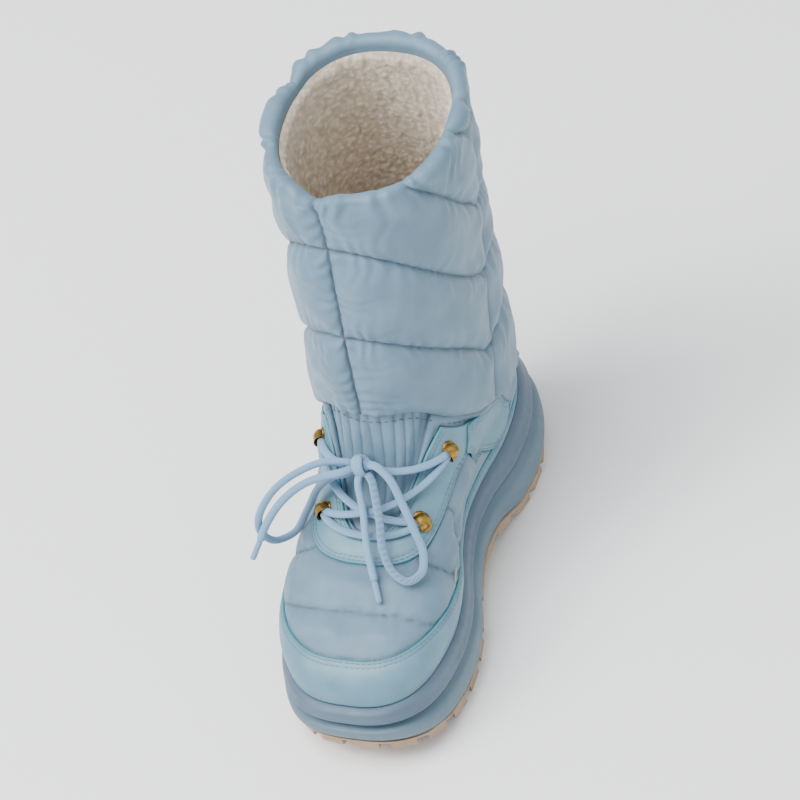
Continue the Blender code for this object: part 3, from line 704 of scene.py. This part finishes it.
def braided_lace():
    """Braided polyester lace: threads cross on the slant, with painted highlight where they rise and painted
    shade where they dip.
    """
    made, tree = start_material(
        "braided_lace", 0.7, Sheen_Weight=0.3, Sheen_Roughness=0.5, Sheen_Tint=colour("e2edf5"))
    braid = threads(tree, 1.5, 0.6)
    raised = node(tree, "MapRange", {"Value": braid, "From Min": -1, "From Max": 1})
    # The braid's height picks the shade: painted shade where the threads dip, painted highlight where they
    # rise.
    finish(tree, blend(tree, braid, -1, 1, *chosen("lace")), ((raised, 0.3), (patches(tree, 0.6, 2), 0.05)))
    return made


def sewing_thread(name, code):
    """Twisted sewing thread of one shade."""
    made, tree = start_material(name, 0.6, Sheen_Weight=0.2)
    shade = colour(code)
    pale = tuple(min(1.0, part * 1.18) for part in shade[:3]) + (1.0,)
    finish(tree, blend(tree, patches(tree, 2.5, 2), 0, 1, shade, pale), ((patches(tree, 0.4, 2), 0.06),))
    return made


def studio_floor():
    """Pale matt floor paper."""
    made, tree = start_material("studio_floor", 0.9)
    finish(tree, blend(tree, patches(tree, 900, 1), 0.3, 0.7, colour("f3f3f3"), colour("f7f7f7")))
    return made


LOOKS = {}


def look(name):
    """A material by name, made the first time that it is asked for."""
    makers = {
        "nylon": shell_nylon, "leather": tumbled_leather, "foam": moulded_foam, "rubber": tread_rubber,
        "fleece": pile_fleece, "brass": antique_brass, "lace": braided_lace,
        "thread": lambda: sewing_thread("leather_thread", "4b6f80"),
        "dark_thread": lambda: sewing_thread("seam_thread", "2f4453"),
        "gold_thread": lambda: sewing_thread("bartack_thread", "b39a55"),
    }
    if name not in LOOKS:
        LOOKS[name] = makers[name]()
    return LOOKS[name]


def show(made, slot, *nodes):
    """Puts a piece on the boot: it rides on the root and stands for CAD nodes. The slot is not used."""
    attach(made, "root")
    if nodes:
        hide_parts(*nodes)
    return made


# Pieces

def build_camera(settings):
    """The camera at the photograph's angle: back is from the boot to the camera, and the picture's up
    is tilted by the roll."""
    a, e, roll = settings.azimuth, settings.elevation, settings.roll
    back = Vector((math.sin(a) * math.cos(e), -math.cos(a) * math.cos(e), math.sin(e)))
    level = Vector((math.cos(a), math.sin(a), 0))
    over = back.cross(level)
    right = level * math.cos(roll) - over * math.sin(roll)
    up = level * math.sin(roll) + over * math.cos(roll)
    lens = bpy.data.cameras.new("photo_camera")
    lens.sensor_width = 36
    lens.lens = settings.lens
    lens.clip_start, lens.clip_end = 0.1, 60
    camera = bpy.data.objects.new("photo_camera", lens)
    bpy.context.scene.collection.objects.link(camera)
    place = Vector(AIM) * MM + back * settings.distance
    camera.matrix_world = Matrix.Translation(place) @ Matrix((right, up, back)).transposed().to_4x4()
    bpy.context.scene.camera = camera


def build_light():
    """Soft boxes over the camera's left shoulder and at its right, and a pale even surround."""
    boxes = (
        # name, place, size, power
        ("key_box", (-1.6, -1.3, 2.3), 1.4, 74),
        ("fill_box", (2.0, -1.2, 1.4), 1.8, 5),
        ("top_box", (-0.3, -0.7, 2.7), 1.3, 72),
    )
    for name, place, size, power in boxes:
        lamp = bpy.data.lights.new(name, "AREA")
        lamp.energy = power
        lamp.size = size
        made = bpy.data.objects.new(name, lamp)
        made.location = place
        made.rotation_euler = (Vector(LAMP_AIM) - made.location).to_track_quat("-Z", "Y").to_euler()
        bpy.context.scene.collection.objects.link(made)
    world = bpy.data.worlds.new("studio")
    world.use_nodes = True
    surround = world.node_tree.nodes["Background"].inputs
    surround["Color"].default_value = colour("eef1f4")
    surround["Strength"].default_value = 1.12
    bpy.context.scene.world = world


def build_floor():
    """A wide floor that curls up in a quarter circle into a backdrop far behind the boot."""
    flat, curl = 5000, 1500
    bend = np.linspace(0.1, 1.57, 12)
    y = np.concatenate([np.linspace(-6000, flat, 12), flat + curl * np.sin(bend), np.full(6, 6500.0)])
    z = np.concatenate([np.zeros(12), curl * (1 - np.cos(bend)), np.linspace(1700, 6000, 6)])
    x = np.linspace(-7000, 7000, 10)
    points = np.stack(np.broadcast_arrays(x[None], y[:, None], z[:, None]), -1)
    floor = grid_mesh("floor", points, studio_floor())


def build_laces():
    """The lace: strands between the hooks, the knot, two loops and two tipped ends."""
    cord = look("lace")
    strands = []
    press, near = 0.9, 0.06
    share = np.linspace(0, 1, 17)
    for number, ((turn_a, level_a), (turn_b, level_b)) in enumerate(CROSSINGS):
        turn = np.radians(turn_a + (turn_b - turn_a) * share)
        out = LACE_OUT - press * bell(np.minimum(share, 1 - share), near)
        out += 1.2 * number * np.sin(math.pi * share)
        strands.append(boot_point(turn, level_a + (level_b - level_a) * share, out))
    share = np.linspace(0, 1, 11)
    hook_turn, hook_level, knot_level = 49.5, 7.02, 7.22
    for side, knot_turn in ((1, 6.0), (-1, 12.0)):
        turn = np.radians(hook_turn + (knot_turn - hook_turn) * share) * side
        out = LACE_OUT - press * bell(share, near) + 2.5 * share ** 2
        strands.append(boot_point(turn, hook_level + (knot_level - hook_level) * share, out))
    for number, route in enumerate(strands):
        made, _ = tube("lace_strand_%d" % number, route, LACE_WIDE, 3.6, cord)
        show(made, "cord", "lace_crossings")
    on_cord = {"lace_loop_medial": build_knot(cord)}
    for name, route in (("lace_end_lateral", END_LATERAL), ("lace_end_medial", END_MEDIAL)):
        before, last = np.asarray(route[-2:], float)
        way = unit(last - before)
        tip_name = name.replace("end", "tip")
        tip, _ = tube(tip_name + "_shown", (last - way, last + way * TIP_LENGTH / 2, last + way * TIP_LENGTH),
                      TIP_RADIUS * 2, TIP_RADIUS * 2, cord)
        show(tip, "cord", tip_name)
        on_cord[name] = [tip]
    ends = (
        ("lace_loop_lateral", LOOP_LATERAL, "object"),
        ("lace_loop_medial", LOOP_MEDIAL, "object"),
        ("lace_end_lateral", END_LATERAL, "bare"),
        ("lace_end_medial", END_MEDIAL, "bare"),
    )
    for name, route, far in ends:
        knot, first, last = np.array(KNOT), np.array(route[0]), np.array(route[-1])
        path = [first + 0.55 * (knot - first), *route]
        if far == "object":
            path.append(last + 0.5 * (knot - last))
        made, centre = tube(name + "_shown", path, LACE_WIDE, LACE_WIDE * 0.86, cord)
        show(made, "cord", name)


def build_knot(cord):
    """The knot: a band of lace wrapped over a soft core, with a wave where it crosses itself."""
    turn = circle(48)
    rise = np.linspace(-math.pi / 2, math.pi / 2, 25)[1:-1, None]
    swell = 1 + 0.10 * np.cos(3 * turn + 2.0 * rise) + 0.06 * np.cos(7 * turn - rise)
    pinch = 1 - 0.22 * bell(turn - math.pi, 0.6) * np.cos(rise) ** 2
    x = np.cos(rise) * np.cos(turn) * swell * pinch
    y = np.cos(rise) * np.sin(turn) * swell
    z = np.sin(rise) * swell
    points = np.stack([x, y, z], -1) * KNOT_RADII + np.array(KNOT)
    core = show(stack("lace_knot_shown", points, cord), "cord", "lace_knot")
    over = np.array((
        (2.0, 2.0, -6.5), (1.2, -4.2, -4.5), (0.2, -6.4, 0.4), (-0.8, -4.4, 5.4), (-1.5, 1.0, 7.2)))
    wrap, _ = tube("lace_knot_wrap", over + np.array(KNOT), 3.0, 7.4, cord)
    show(wrap, "cord")
    return [core, wrap]


def height_of(part, y):
    """Height of a part of the midsole's side, from its bottom line to its rim."""
    bottom = np.maximum(smooth(y, ALONG, TREAD), 0) + OUTSOLE_THICK
    return bottom + part * (smooth(y, ALONG, RIM) - bottom)


def build_sole():
    """The midsole: many rings of its outline, moved in by the side's profile and a groove between its tiers.
    """
    turn = dense_turns(300)
    part = np.linspace(0, 1, 56)[:, None]
    inset = smooth(part, SIDE[:, 0], SIDE[:, 1])
    groove = bell(part - 0.565, 0.03)
    inset = inset + 0.9 * groove
    x, y = sole_ring(turn[None], inset)
    rings = np.stack([x, y, height_of(part, y)], -1)
    recess = UPPER_INSET - 0.3
    top_x, top_y = sole_ring(turn[None], np.array([[6.4], [7.0], [recess], [recess]]))
    top_z = smooth(top_y, ALONG, RIM) + np.array([[0.35], [0.2], [-1.0], [-RIM_DEPTH]])
    top = np.stack([top_x, top_y, top_z], -1)
    points = np.concatenate([rings, top])
    lower = np.broadcast_to(fade(0.56 - part, 0.02), rings.shape[:2])
    # The groove between the tiers is marked for painted shade.
    crease = np.broadcast_to(groove, rings.shape[:2])
    zeros = np.zeros(top.shape[:2])
    marks = {"lower": np.concatenate([lower, zeros]), "crease": np.concatenate([crease, zeros])}
    show(stack("midsole_shown", points, look("foam"), marks), "foam", "midsole")
    for name, kind in (("outsole", "rubber"), ("insole", "fleece")):
        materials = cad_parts[name].data.materials
        materials.clear()
        materials.append(look(kind))


def overlay(name, turn, level, gap, rows, closed=False, low=True):
    """A leather piece over the upper from a grid of angles and levels. Its cut edges are rounded over
    a millimetre and dyed, and it swells a little inside its rows of stitches, whose lines it adds to
    the rows. Its low edge has stitches only where low is true."""
    gap = np.broadcast_to(gap, turn.shape)
    base = boot_point(turn, level, gap)
    to_low = run_along(base, 0)
    to_high = to_low[-1:] - to_low
    edge = np.minimum(to_low, to_high)
    groove = np.zeros_like(edge)
    keep = slice(None) if closed else slice(3, -3)
    for side in (to_low, to_high) if low else (to_high,):
        for distance in ROWS_IN:
            groove = np.maximum(groove, bell(side - distance, 0.55))
            found = np.abs(side - distance).argmin(0)
            column = np.arange(turn.shape[1])
            if closed:
                column, found = np.append(column, 0), np.append(found, found[0])
            angle = np.unwrap(turn[found, column])
            height = gap[found, column] + OVERLAY_THICK - 0.1
            rows.append((angle[keep], level[found, column][keep], height[keep]))
    middle = 1 - decay(np.clip(edge - ROWS_IN[-1], 0, None), 5.0)
    dent = 0.28 * groove - 0.75 * middle
    swing = 0.16 * ripple(base[..., 1], base[..., 2] + base[..., 0], 21, 5)
    out = gap + OVERLAY_THICK * dome(edge, 1.1) - dent * fade(edge, 1.2) + swing * middle
    # The grooves along the stitch rows are marked for painted shade.
    marks = {"edge": np.clip(1.35 - edge / 0.75, 0, 1), "crease": groove * 0.5}
    made = wall(name + "_shown", boot_point(turn, level, out), base, look("leather"), closed, marks)
    show(made, "leather", name)


def across_rows(low_turn, low_level, high_turn, high_level, count):
    """Angles and levels of rows between two edges, closest together near both edges."""
    even = np.linspace(0, 1, count)[:, None]
    share = even - 0.13 * np.sin(2 * math.pi * even)
    return low_turn + (high_turn - low_turn) * share, low_level + (high_level - low_level) * share


def build_leather(rows):
    """The rand round the toe and sides, the U-shaped eyestay and the two ankle straps."""
    turn = dense_turns(420)
    foot = np.full_like(turn, RAND_FOOT)
    rand_turn, rand_level = across_rows(turn, foot, turn, at_turn(turn, RAND), 44)
    overlay("mudguard", rand_turn, rand_level, RAND_GAP, rows, closed=True, low=False)
    half = np.stack(table_at(EYESTAY, np.linspace(0, len(EYESTAY) - 1, 120)), axis=1)
    both = np.concatenate([half[:0:-1] * (-1, 1, -1, 1), half])
    inner_turn, inner_level, outer_turn, outer_level = both.T
    turn, level = across_rows(np.radians(inner_turn), inner_level, np.radians(outer_turn), outer_level, 40)
    overlay("eyestay", turn, level, OVERLAY_GAP, rows)
    top_turn, top_level, low_turn, low_level = table_at(STRAP, np.linspace(0, len(STRAP) - 1, 90))
    for name, side in (("ankle_strap_medial", 1), ("ankle_strap_lateral", -1)):
        turn, level = across_rows(np.radians(top_turn) * side, top_level,
                                  np.radians(low_turn) * side, low_level, 36)
        lift = OVERLAY_THICK * smooth(np.degrees(from_toe(turn)), (66, 73, 77, 110), (1, 1, 0, 0))
        overlay(name, turn, level, OVERLAY_GAP + lift, rows)


def eyestay_outline():
    """The eyestay's outline as degrees and levels, once round."""
    inner, outer = EYESTAY[:, :2], EYESTAY[:, 2:]
    mirrored = (-1, 1)
    return np.concatenate([inner, outer[::-1], (outer * mirrored)[1:], (inner * mirrored)[:0:-1]])


def upper_top(turn):
    """Level of the upper's top edge: the ankle seam, cut down at the front for the throat."""
    away = np.degrees(from_toe(turn))
    cut = np.where(away < THROAT[-1][0], at_turn(turn, THROAT), ANKLE)
    return np.minimum(at_turn(turn, SEAM) + 0.05, cut - 0.02)


def build_upper(settings, thread_rows):
    """Vamp and quarters: the form swells between its sewn lines and the leather pieces, and is pressed
    flat under those pieces. Small tucks run across each sewn line and fade out beside it."""
    turn = dense_turns(400)
    share = np.linspace(0, 1, 110)[:, None]
    top = upper_top(turn)
    level = UPPER_FOOT + share * (top - UPPER_FOOT)
    turn = np.broadcast_to(turn, level.shape)
    form = boot_form(turn, level)
    x, y, z = np.moveaxis(form, -1, 0)
    stay = eyestay_outline()
    covered = (level < at_turn(turn, RAND)) | inside(turn, level, stay)
    near = np.full(level.shape, 1e3)
    tucks, crease = np.zeros((2, *level.shape))
    for side in (1, -1):
        strap = np.concatenate([STRAP[:, :2], STRAP[::-1, 2:]]) * (side, 1)
        covered |= inside(turn, level, strap)
    sewn = [VAMP_LINE, CORNER_SEAM, QUARTER_ARC]
    sewn += [np.array(table) * (-1, 1) for table in sewn[1:]]
    for number, table in enumerate(sewn):
        line = line_points(table)
        distance, along = nearest(form, boot_form(*line))
        sway = 2.2 * ripple(x, y, 40, number)
        tucks += 0.28 * settings.pucker * tuck_wave(along, 8.5, sway, distance, 6.0, 1.2)
        near = np.minimum(near, distance)
        crease = np.maximum(crease, bell(distance, 0.9))
        thread_rows.append((*line, np.full(len(line[0]), 0.25)))
    rim = [(d, float(at_turn(math.radians(d), RAND)) + 0.02) for d in range(-180, 181, 6)]
    for table in (rim, np.concatenate([stay, stay[:1]])):
        near = np.minimum(near, nearest(form, boot_form(*line_points(table)))[0])
    fill = dome(near, 15.0)
    puff = 3.1 * fill * (1 + 0.12 * ripple(x + z, y, 38, 11))
    folds = 0.35 * ripple(y, z * 2, 24, 12) * fill
    top_edge = fade((top - level) * RING_STEP, 5)
    out = np.where(covered, 0.0, (puff + tucks + folds) * top_edge ** 0.5)
    # Painted shade along the sewn lines and next to the rand and the eyestay, none under the leather.
    marks = {"crease": np.where(covered, 0, np.maximum(crease, 0.8 * decay(near, 0.8)))}
    outer = boot_point(turn, level, out)
    inner = boot_point(turn, level, -UPPER_WALL)
    show(wall("upper_shown", outer, inner, look("nylon"), True, marks), "nylon", "upper")


def build_tongue():
    """The tongue: cloth gathered into upright pleats behind the lace, pulled in at the ankle seam."""
    turn = np.radians(np.linspace(-50, 50, 220))[None]
    share = np.linspace(0, 1, 110)[:, None]
    level = TONGUE_FOOT + share * (at_turn(turn, SEAM) + 0.05 - TONGUE_FOOT)
    turn = np.broadcast_to(turn, level.shape)
    edge_degrees, edge_level = np.transpose(THROAT)
    edge = np.interp(level, edge_level, edge_degrees)
    within = fade(edge - 2.0 - np.degrees(np.abs(turn)), 12)
    crown = within ** 2 * (3 - 2 * within) * fade(level - 6.1, 0.4)
    x, _, z = np.moveaxis(boot_form(turn, level), -1, 0)
    phase = np.degrees(turn) / 7.0 + 0.16 * ripple(x, z * 0.35, 30, 21)
    fold = np.abs(np.sin(math.pi * phase))
    pleat = (fold ** 0.7 - 0.6) * (0.5 + 1.1 * fade(level - 6.3, 1.2)) * within ** 0.5
    out = -UPPER_WALL - 0.4 + 3.0 * crown + pleat + 0.25 * ripple(x, z, 12, 22)
    # Painted shade in the folds between the pleats.
    crease = bell(fold, 0.22) * 0.6 * within
    outer = boot_point(turn, level, out)
    inner = boot_point(turn, level, out - 1.6)
    show(wall("tongue_shown", outer, inner, look("nylon"), False, {"crease": crease}), "nylon", "tongue")


def shaft_height(turn, level, settings):
    """Height of the shaft's padding and its crease shade. Padding between two sewn lines has a round
    section. Tucks cross each line every 8 mm or so and fade out, and the collar is gathered."""
    seam_level, seam_degrees = np.transpose(FRONT_SEAM)
    seam_turn = np.radians(smooth(level, seam_level, seam_degrees))
    side_seam = SIDE_SEAM + 0.13 * np.clip(level - ANKLE, 0, 2)
    from_seam = from_toe(turn - seam_turn)
    z = boot_form(turn, level)[..., 2]
    x = wrapped(turn) * ROUND
    fall = LINE_FALL * np.minimum(from_seam, side_seam) ** 2
    field = (z + fall - LINE_Z) / LINE_STEP
    to_line = np.abs(field - np.round(field)) * LINE_STEP * 0.85
    to_front = from_seam * ROUND
    to_side = np.abs(from_toe(turn) - side_seam) * ROUND
    to_low = (level - at_turn(turn, SEAM)) * RING_STEP
    to_top = (COLLAR - level) * RING_STEP
    near = np.minimum.reduce([
        to_line, to_front * 1.7, to_side * 1.3 + 2.0, to_low * 1.5, to_top * 2.2 + 4.0])
    fill = dome(near, 20.0)
    wander = ripple(x, z, 36, 31)
    line_tucks = tuck_wave(x, 8.0, 2.6 * wander, to_line, 6.5, 1.5)
    seam_tucks = tuck_wave(z, 8.5, 2.6 * wander, to_front, 8.0, 1.5)
    low_tucks = tuck_wave(x, 9.0, 2.4 * wander, to_low, 6.0, 1.5)
    gathers = np.sin(WAVE * x / 13.0 + 2.8 * wander) * decay(to_top, 12.0)
    folds = ripple(x * 0.6 + z * 0.8, z - x * 0.35, 30, 32) * 0.55 + ripple(x, z * 0.6, 14, 33) * 0.22
    tucks = settings.pucker * (1.15 * line_tucks + 0.95 * seam_tucks + 0.5 * low_tucks + 1.5 * gathers)
    height = settings.puff / MM * (0.10 + 0.90 * fill) + tucks * (0.25 + fill) + folds * fill
    # Painted shade along the quilting lines, the front and side seams and the foot of the shaft.
    crease = np.maximum.reduce([
        bell(to_line, 1.0), bell(to_front, 1.0), 0.8 * bell(to_side, 0.9), 0.9 * decay(to_low, 1.0)])
    return height * fade(to_low, 3.0) ** 0.5, crease


def collar_dip(turn):
    """How far the collar lies below its ring, in millimetres: a bell curve at the front seam and a
    lower one at each side seam."""
    to_seam = from_toe(turn - math.radians(FRONT_SEAM[-1][1])) * ROUND
    to_side = np.abs(from_toe(turn) - SIDE_SEAM - 0.26) * ROUND
    return 7.0 * bell(to_seam, 10.0) + 1.5 * bell(to_side, 8.0)


def sink(points, turn, level):
    """Lowers points near the collar by its dip, which fades out below it as a square."""
    points[..., 2] -= collar_dip(turn) * fade(level - COLLAR + 0.7, 0.6) ** 2


def build_shaft(settings, dark_rows):
    """The quilted shaft: padding outside, rolled over at the collar in a half circle, plain inside."""
    around = dense_turns(420)
    foot = at_turn(around, SEAM) + 0.02
    level = foot + np.linspace(0, 1, 170)[:, None] * (ROLL_FOOT - foot)
    turn = np.broadcast_to(around, level.shape)
    height, crease = shaft_height(turn, level, settings)
    outer = boot_point(turn, level, height)
    angle = np.linspace(0, math.pi, 14)[1:-1, None]
    middle, radius = (height[-1] - SHAFT_WALL) / 2, (height[-1] + SHAFT_WALL) / 2
    roll = boot_point(around, ROLL_FOOT, middle + radius * np.cos(angle))
    roll[..., 2] += radius * np.sin(angle) * 0.95
    back_level = foot + np.linspace(1, 0, 16)[:, None] * (ROLL_FOOT - foot)
    inner = boot_point(around, back_level, -SHAFT_WALL)
    sink(outer, around, level)
    roll[..., 2] -= collar_dip(around)
    sink(inner, around, back_level)
    points = np.concatenate([outer, roll, inner])
    shade = np.concatenate([crease, np.zeros((len(roll) + len(inner), len(around)))])
    made = grid_mesh("shaft_shown", points, look("nylon"), wrap=True, roll=True, marks={"crease": shade})
    show(made, "quilted_nylon", "shaft")
    seam_turn = np.radians(np.linspace(-128, 128, 200))
    dark_rows.append((seam_turn, at_turn(seam_turn, SEAM) - 0.09, np.full(200, 1.3)))


def build_lining():
    """The fleece lining, from the footbed to just under the rolled collar, with a lumpy pile."""
    share = np.linspace(0, 1, 150)[:, None]
    turn, level = np.broadcast_arrays(dense_turns(260), LINING_FOOT + share * (LINING_TOP - LINING_FOOT))
    x = turn * ROUND
    z = boot_form(turn, level)[..., 2]
    pile = 0.55 * ripple(x, z, 6.5, 41) + 0.35 * ripple(x, z, 3.4, 42)
    top = fade((LINING_TOP - level) * RING_STEP, 3) ** 0.5
    face = boot_point(turn, level, -SHAFT_WALL - 0.4 - (2.6 + pile) * top)
    back = boot_point(turn, level, -SHAFT_WALL - 0.3)
    sink(face, turn, level)
    sink(back, turn, level)
    show(wall("lining_shown", face, back, look("fleece"), True), "felt")


def build_hooks():
    """Each lace hook: an oval plate with a rounded edge, and a hood over it whose mouth faces the
    throat. The hood is a half tube that closes in a quarter ball at its outer end."""
    hood_outside, hood_inside, hood_length = 5.2, 4.2, 5.4
    plate_side = np.array([(5.0, 0.0), (5.5, 0.35), (5.5, 0.8), (5.0, 1.15), (3.0, 1.25)])
    radius, height = plate_side[:, :1], plate_side[:, 1:]
    angle = circle(48)
    rings = np.stack([
        radius * np.cos(angle) * 0.92 - 0.6, radius * np.sin(angle) * 1.22, height + 0 * angle], -1)
    place = np.linspace(-hood_length, 3.4, 30)[:, None]
    over = np.linspace(0, math.pi, 34)[None]
    closing = np.sqrt(np.maximum(1 - fade(-place, hood_length) ** 2, 0.0004))
    flare = 1 + 0.06 * fade(place - 2.2, 1.2)
    shells = []
    for radius in (hood_outside, hood_inside):
        size = radius * closing * flare
        shells.append(np.stack(np.broadcast_arrays(
            place * radius / hood_outside, size * np.cos(over), 0.9 + size * np.sin(over)), -1))
    for name, side, degrees, level in HOOKS:
        turn = math.radians(degrees) * side
        origin = boot_point(turn, level, OVERLAY_GAP + OVERLAY_THICK + 0.3)
        normal = outward(np.array(turn), np.array(level))
        across = boot_form(turn - side * 0.02, level) - boot_form(turn, level)
        across = unit(across - normal * (across @ normal))
        axes = np.stack([across, np.cross(normal, across), normal])
        outer, inner = (origin + shell @ axes for shell in shells)
        show(stack(name + "_shown", origin + rings @ axes, look("brass")), "brass", name)
        show(wall(name + "_hood", outer, inner, look("brass"), False), "brass", name)


def build_stitching(rows, thread_rows, dark_rows):
    """All sewing: double rows on the leather, single rows on the cloth, a dark row under the ankle seam
    and a small yellow bartack where the quarter's seam meets the rand."""
    dark = look("dark_thread")
    show(stitches("leather_stitches", rows, look("thread"), 0.3), "leather")
    show(stitches("cloth_stitches", thread_rows, dark, 0.28, length=2.6, gap=1.4, out=0.3), "nylon")
    show(stitches("ankle_stitches", dark_rows, dark, 0.34, length=2.8, gap=1.8), "nylon")
    half_turn, rise, height = np.array([-0.9, 0.9]), np.array([0.0, 0.03]), np.full(2, 2.3)
    tack = [(np.radians(70.2 + 1.6 * share + half_turn), 3.05 + 0.12 * share + rise, height)
            for share in np.linspace(0, 1, 9)]
    show(stitches("bartack", tack, look("gold_thread"), 0.3, length=1.4, gap=0.1), "leather")


# The add-on

def shade(name, code):
    """A colour that can be changed, from six hex digits."""
    return bpy.props.FloatVectorProperty(
        name=name, description="Colour of the material, mixed in soft patches with its other shade",
        default=colour(code), size=4, min=0.0, max=1.0, subtype="COLOR")


class BootSettings(bpy.types.PropertyGroup):
    """Sizes and colours of the looks, and the view."""
    puff: bpy.props.FloatProperty(
        name="Puff", description="Height of the shaft's padding", default=7.2 * MM, unit="LENGTH")
    pucker: bpy.props.FloatProperty(
        name="Pucker", description="Strength of the tucks along sewn lines", default=1.0, subtype="FACTOR")
    azimuth: bpy.props.FloatProperty(
        name="Azimuth", description="Camera's angle round the boot", default=math.radians(32.3),
        subtype="ANGLE")
    elevation: bpy.props.FloatProperty(
        name="Elevation", description="Camera's angle above the horizon", default=math.radians(46.2),
        subtype="ANGLE")
    roll: bpy.props.FloatProperty(
        name="Roll", description="Camera's turn about its view", default=math.radians(18.5), subtype="ANGLE")
    lens: bpy.props.FloatProperty(
        name="Lens", description="Focal length", default=200.0, unit="CAMERA")
    distance: bpy.props.FloatProperty(
        name="Distance", description="From the camera to the boot", default=2.6, unit="LENGTH")
    nylon: shade("Nylon", "597689")
    nylon_light: shade("Light nylon", "638093")
    leather: shade("Leather", "587f91")
    leather_light: shade("Light leather", "648b9b")
    foam: shade("Foam", "4a5e70")
    foam_light: shade("Light foam", "526677")
    # The two lace shades are laid by the braid's height: painted shade where the threads dip, painted
    # highlight where they rise.
    lace: shade("Lace", "5f88ac")
    lace_light: shade("Light lace", "8ab0ce")


class BootOperator:
    """What the boot's operators share."""
    bl_options = {"REGISTER", "UNDO"}


class BOOT_OT_stage(BootOperator, bpy.types.Operator):
    """Makes the camera, the lights and the floor"""
    bl_idname = "boot.stage"
    bl_label = "Stage"

    def execute(self, context):
        build_camera(context.scene.boot_settings)
        build_light()
        build_floor()
        return {"FINISHED"}


class BOOT_OT_laces(BootOperator, bpy.types.Operator):
    """Makes the laces, the knot and the tips"""
    bl_idname = "boot.laces"
    bl_label = "Laces"

    def execute(self, context):
        build_laces()
        return {"FINISHED"}


class BOOT_OT_sole(BootOperator, bpy.types.Operator):
    """Makes the midsole and gives the outsole and the footbed their materials"""
    bl_idname = "boot.sole"
    bl_label = "Sole"

    def execute(self, context):
        build_sole()
        return {"FINISHED"}


class BOOT_OT_upper(BootOperator, bpy.types.Operator):
    """Makes the cloth, the leather, the shaft and their stitches"""
    bl_idname = "boot.upper"
    bl_label = "Upper"

    def execute(self, context):
        settings = context.scene.boot_settings
        rows, thread_rows, dark_rows = [], [], []
        build_leather(rows)
        build_upper(settings, thread_rows)
        build_tongue()
        build_shaft(settings, dark_rows)
        build_stitching(rows, thread_rows, dark_rows)
        return {"FINISHED"}


class BOOT_OT_lining(BootOperator, bpy.types.Operator):
    """Makes the fleece lining"""
    bl_idname = "boot.lining"
    bl_label = "Lining"

    def execute(self, context):
        build_lining()
        return {"FINISHED"}


class BOOT_OT_hooks(BootOperator, bpy.types.Operator):
    """Makes the brass lace hooks"""
    bl_idname = "boot.hooks"
    bl_label = "Hooks"

    def execute(self, context):
        build_hooks()
        return {"FINISHED"}


class BOOT_PT_panel(bpy.types.Panel):
    """Buttons and sizes for the boot"""
    bl_label = "Boot"
    bl_space_type = "VIEW_3D"
    bl_region_type = "UI"
    bl_category = "Boot"

    def draw(self, context):
        for name in BootSettings.__annotations__:
            self.layout.prop(context.scene.boot_settings, name)
        for operator in OPERATORS:
            self.layout.operator(operator.bl_idname)


OPERATORS = (BOOT_OT_stage, BOOT_OT_laces, BOOT_OT_sole, BOOT_OT_upper, BOOT_OT_lining, BOOT_OT_hooks)
CLASSES = (BootSettings, *OPERATORS, BOOT_PT_panel)


def register():
    """Adds the add-on's classes and settings."""
    for part in CLASSES:
        bpy.utils.register_class(part)
    bpy.types.Scene.boot_settings = bpy.props.PointerProperty(type=BootSettings)


def unregister():
    """Takes the add-on's classes and settings away."""
    del bpy.types.Scene.boot_settings
    for part in reversed(CLASSES):
        bpy.utils.unregister_class(part)


def main():
    """Registers the add-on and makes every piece."""
    register()
    bpy.ops.boot.stage()
    bpy.ops.boot.laces()
    bpy.ops.boot.sole()
    bpy.ops.boot.upper()
    bpy.ops.boot.lining()
    bpy.ops.boot.hooks()


if __name__ == "__main__":
    main()
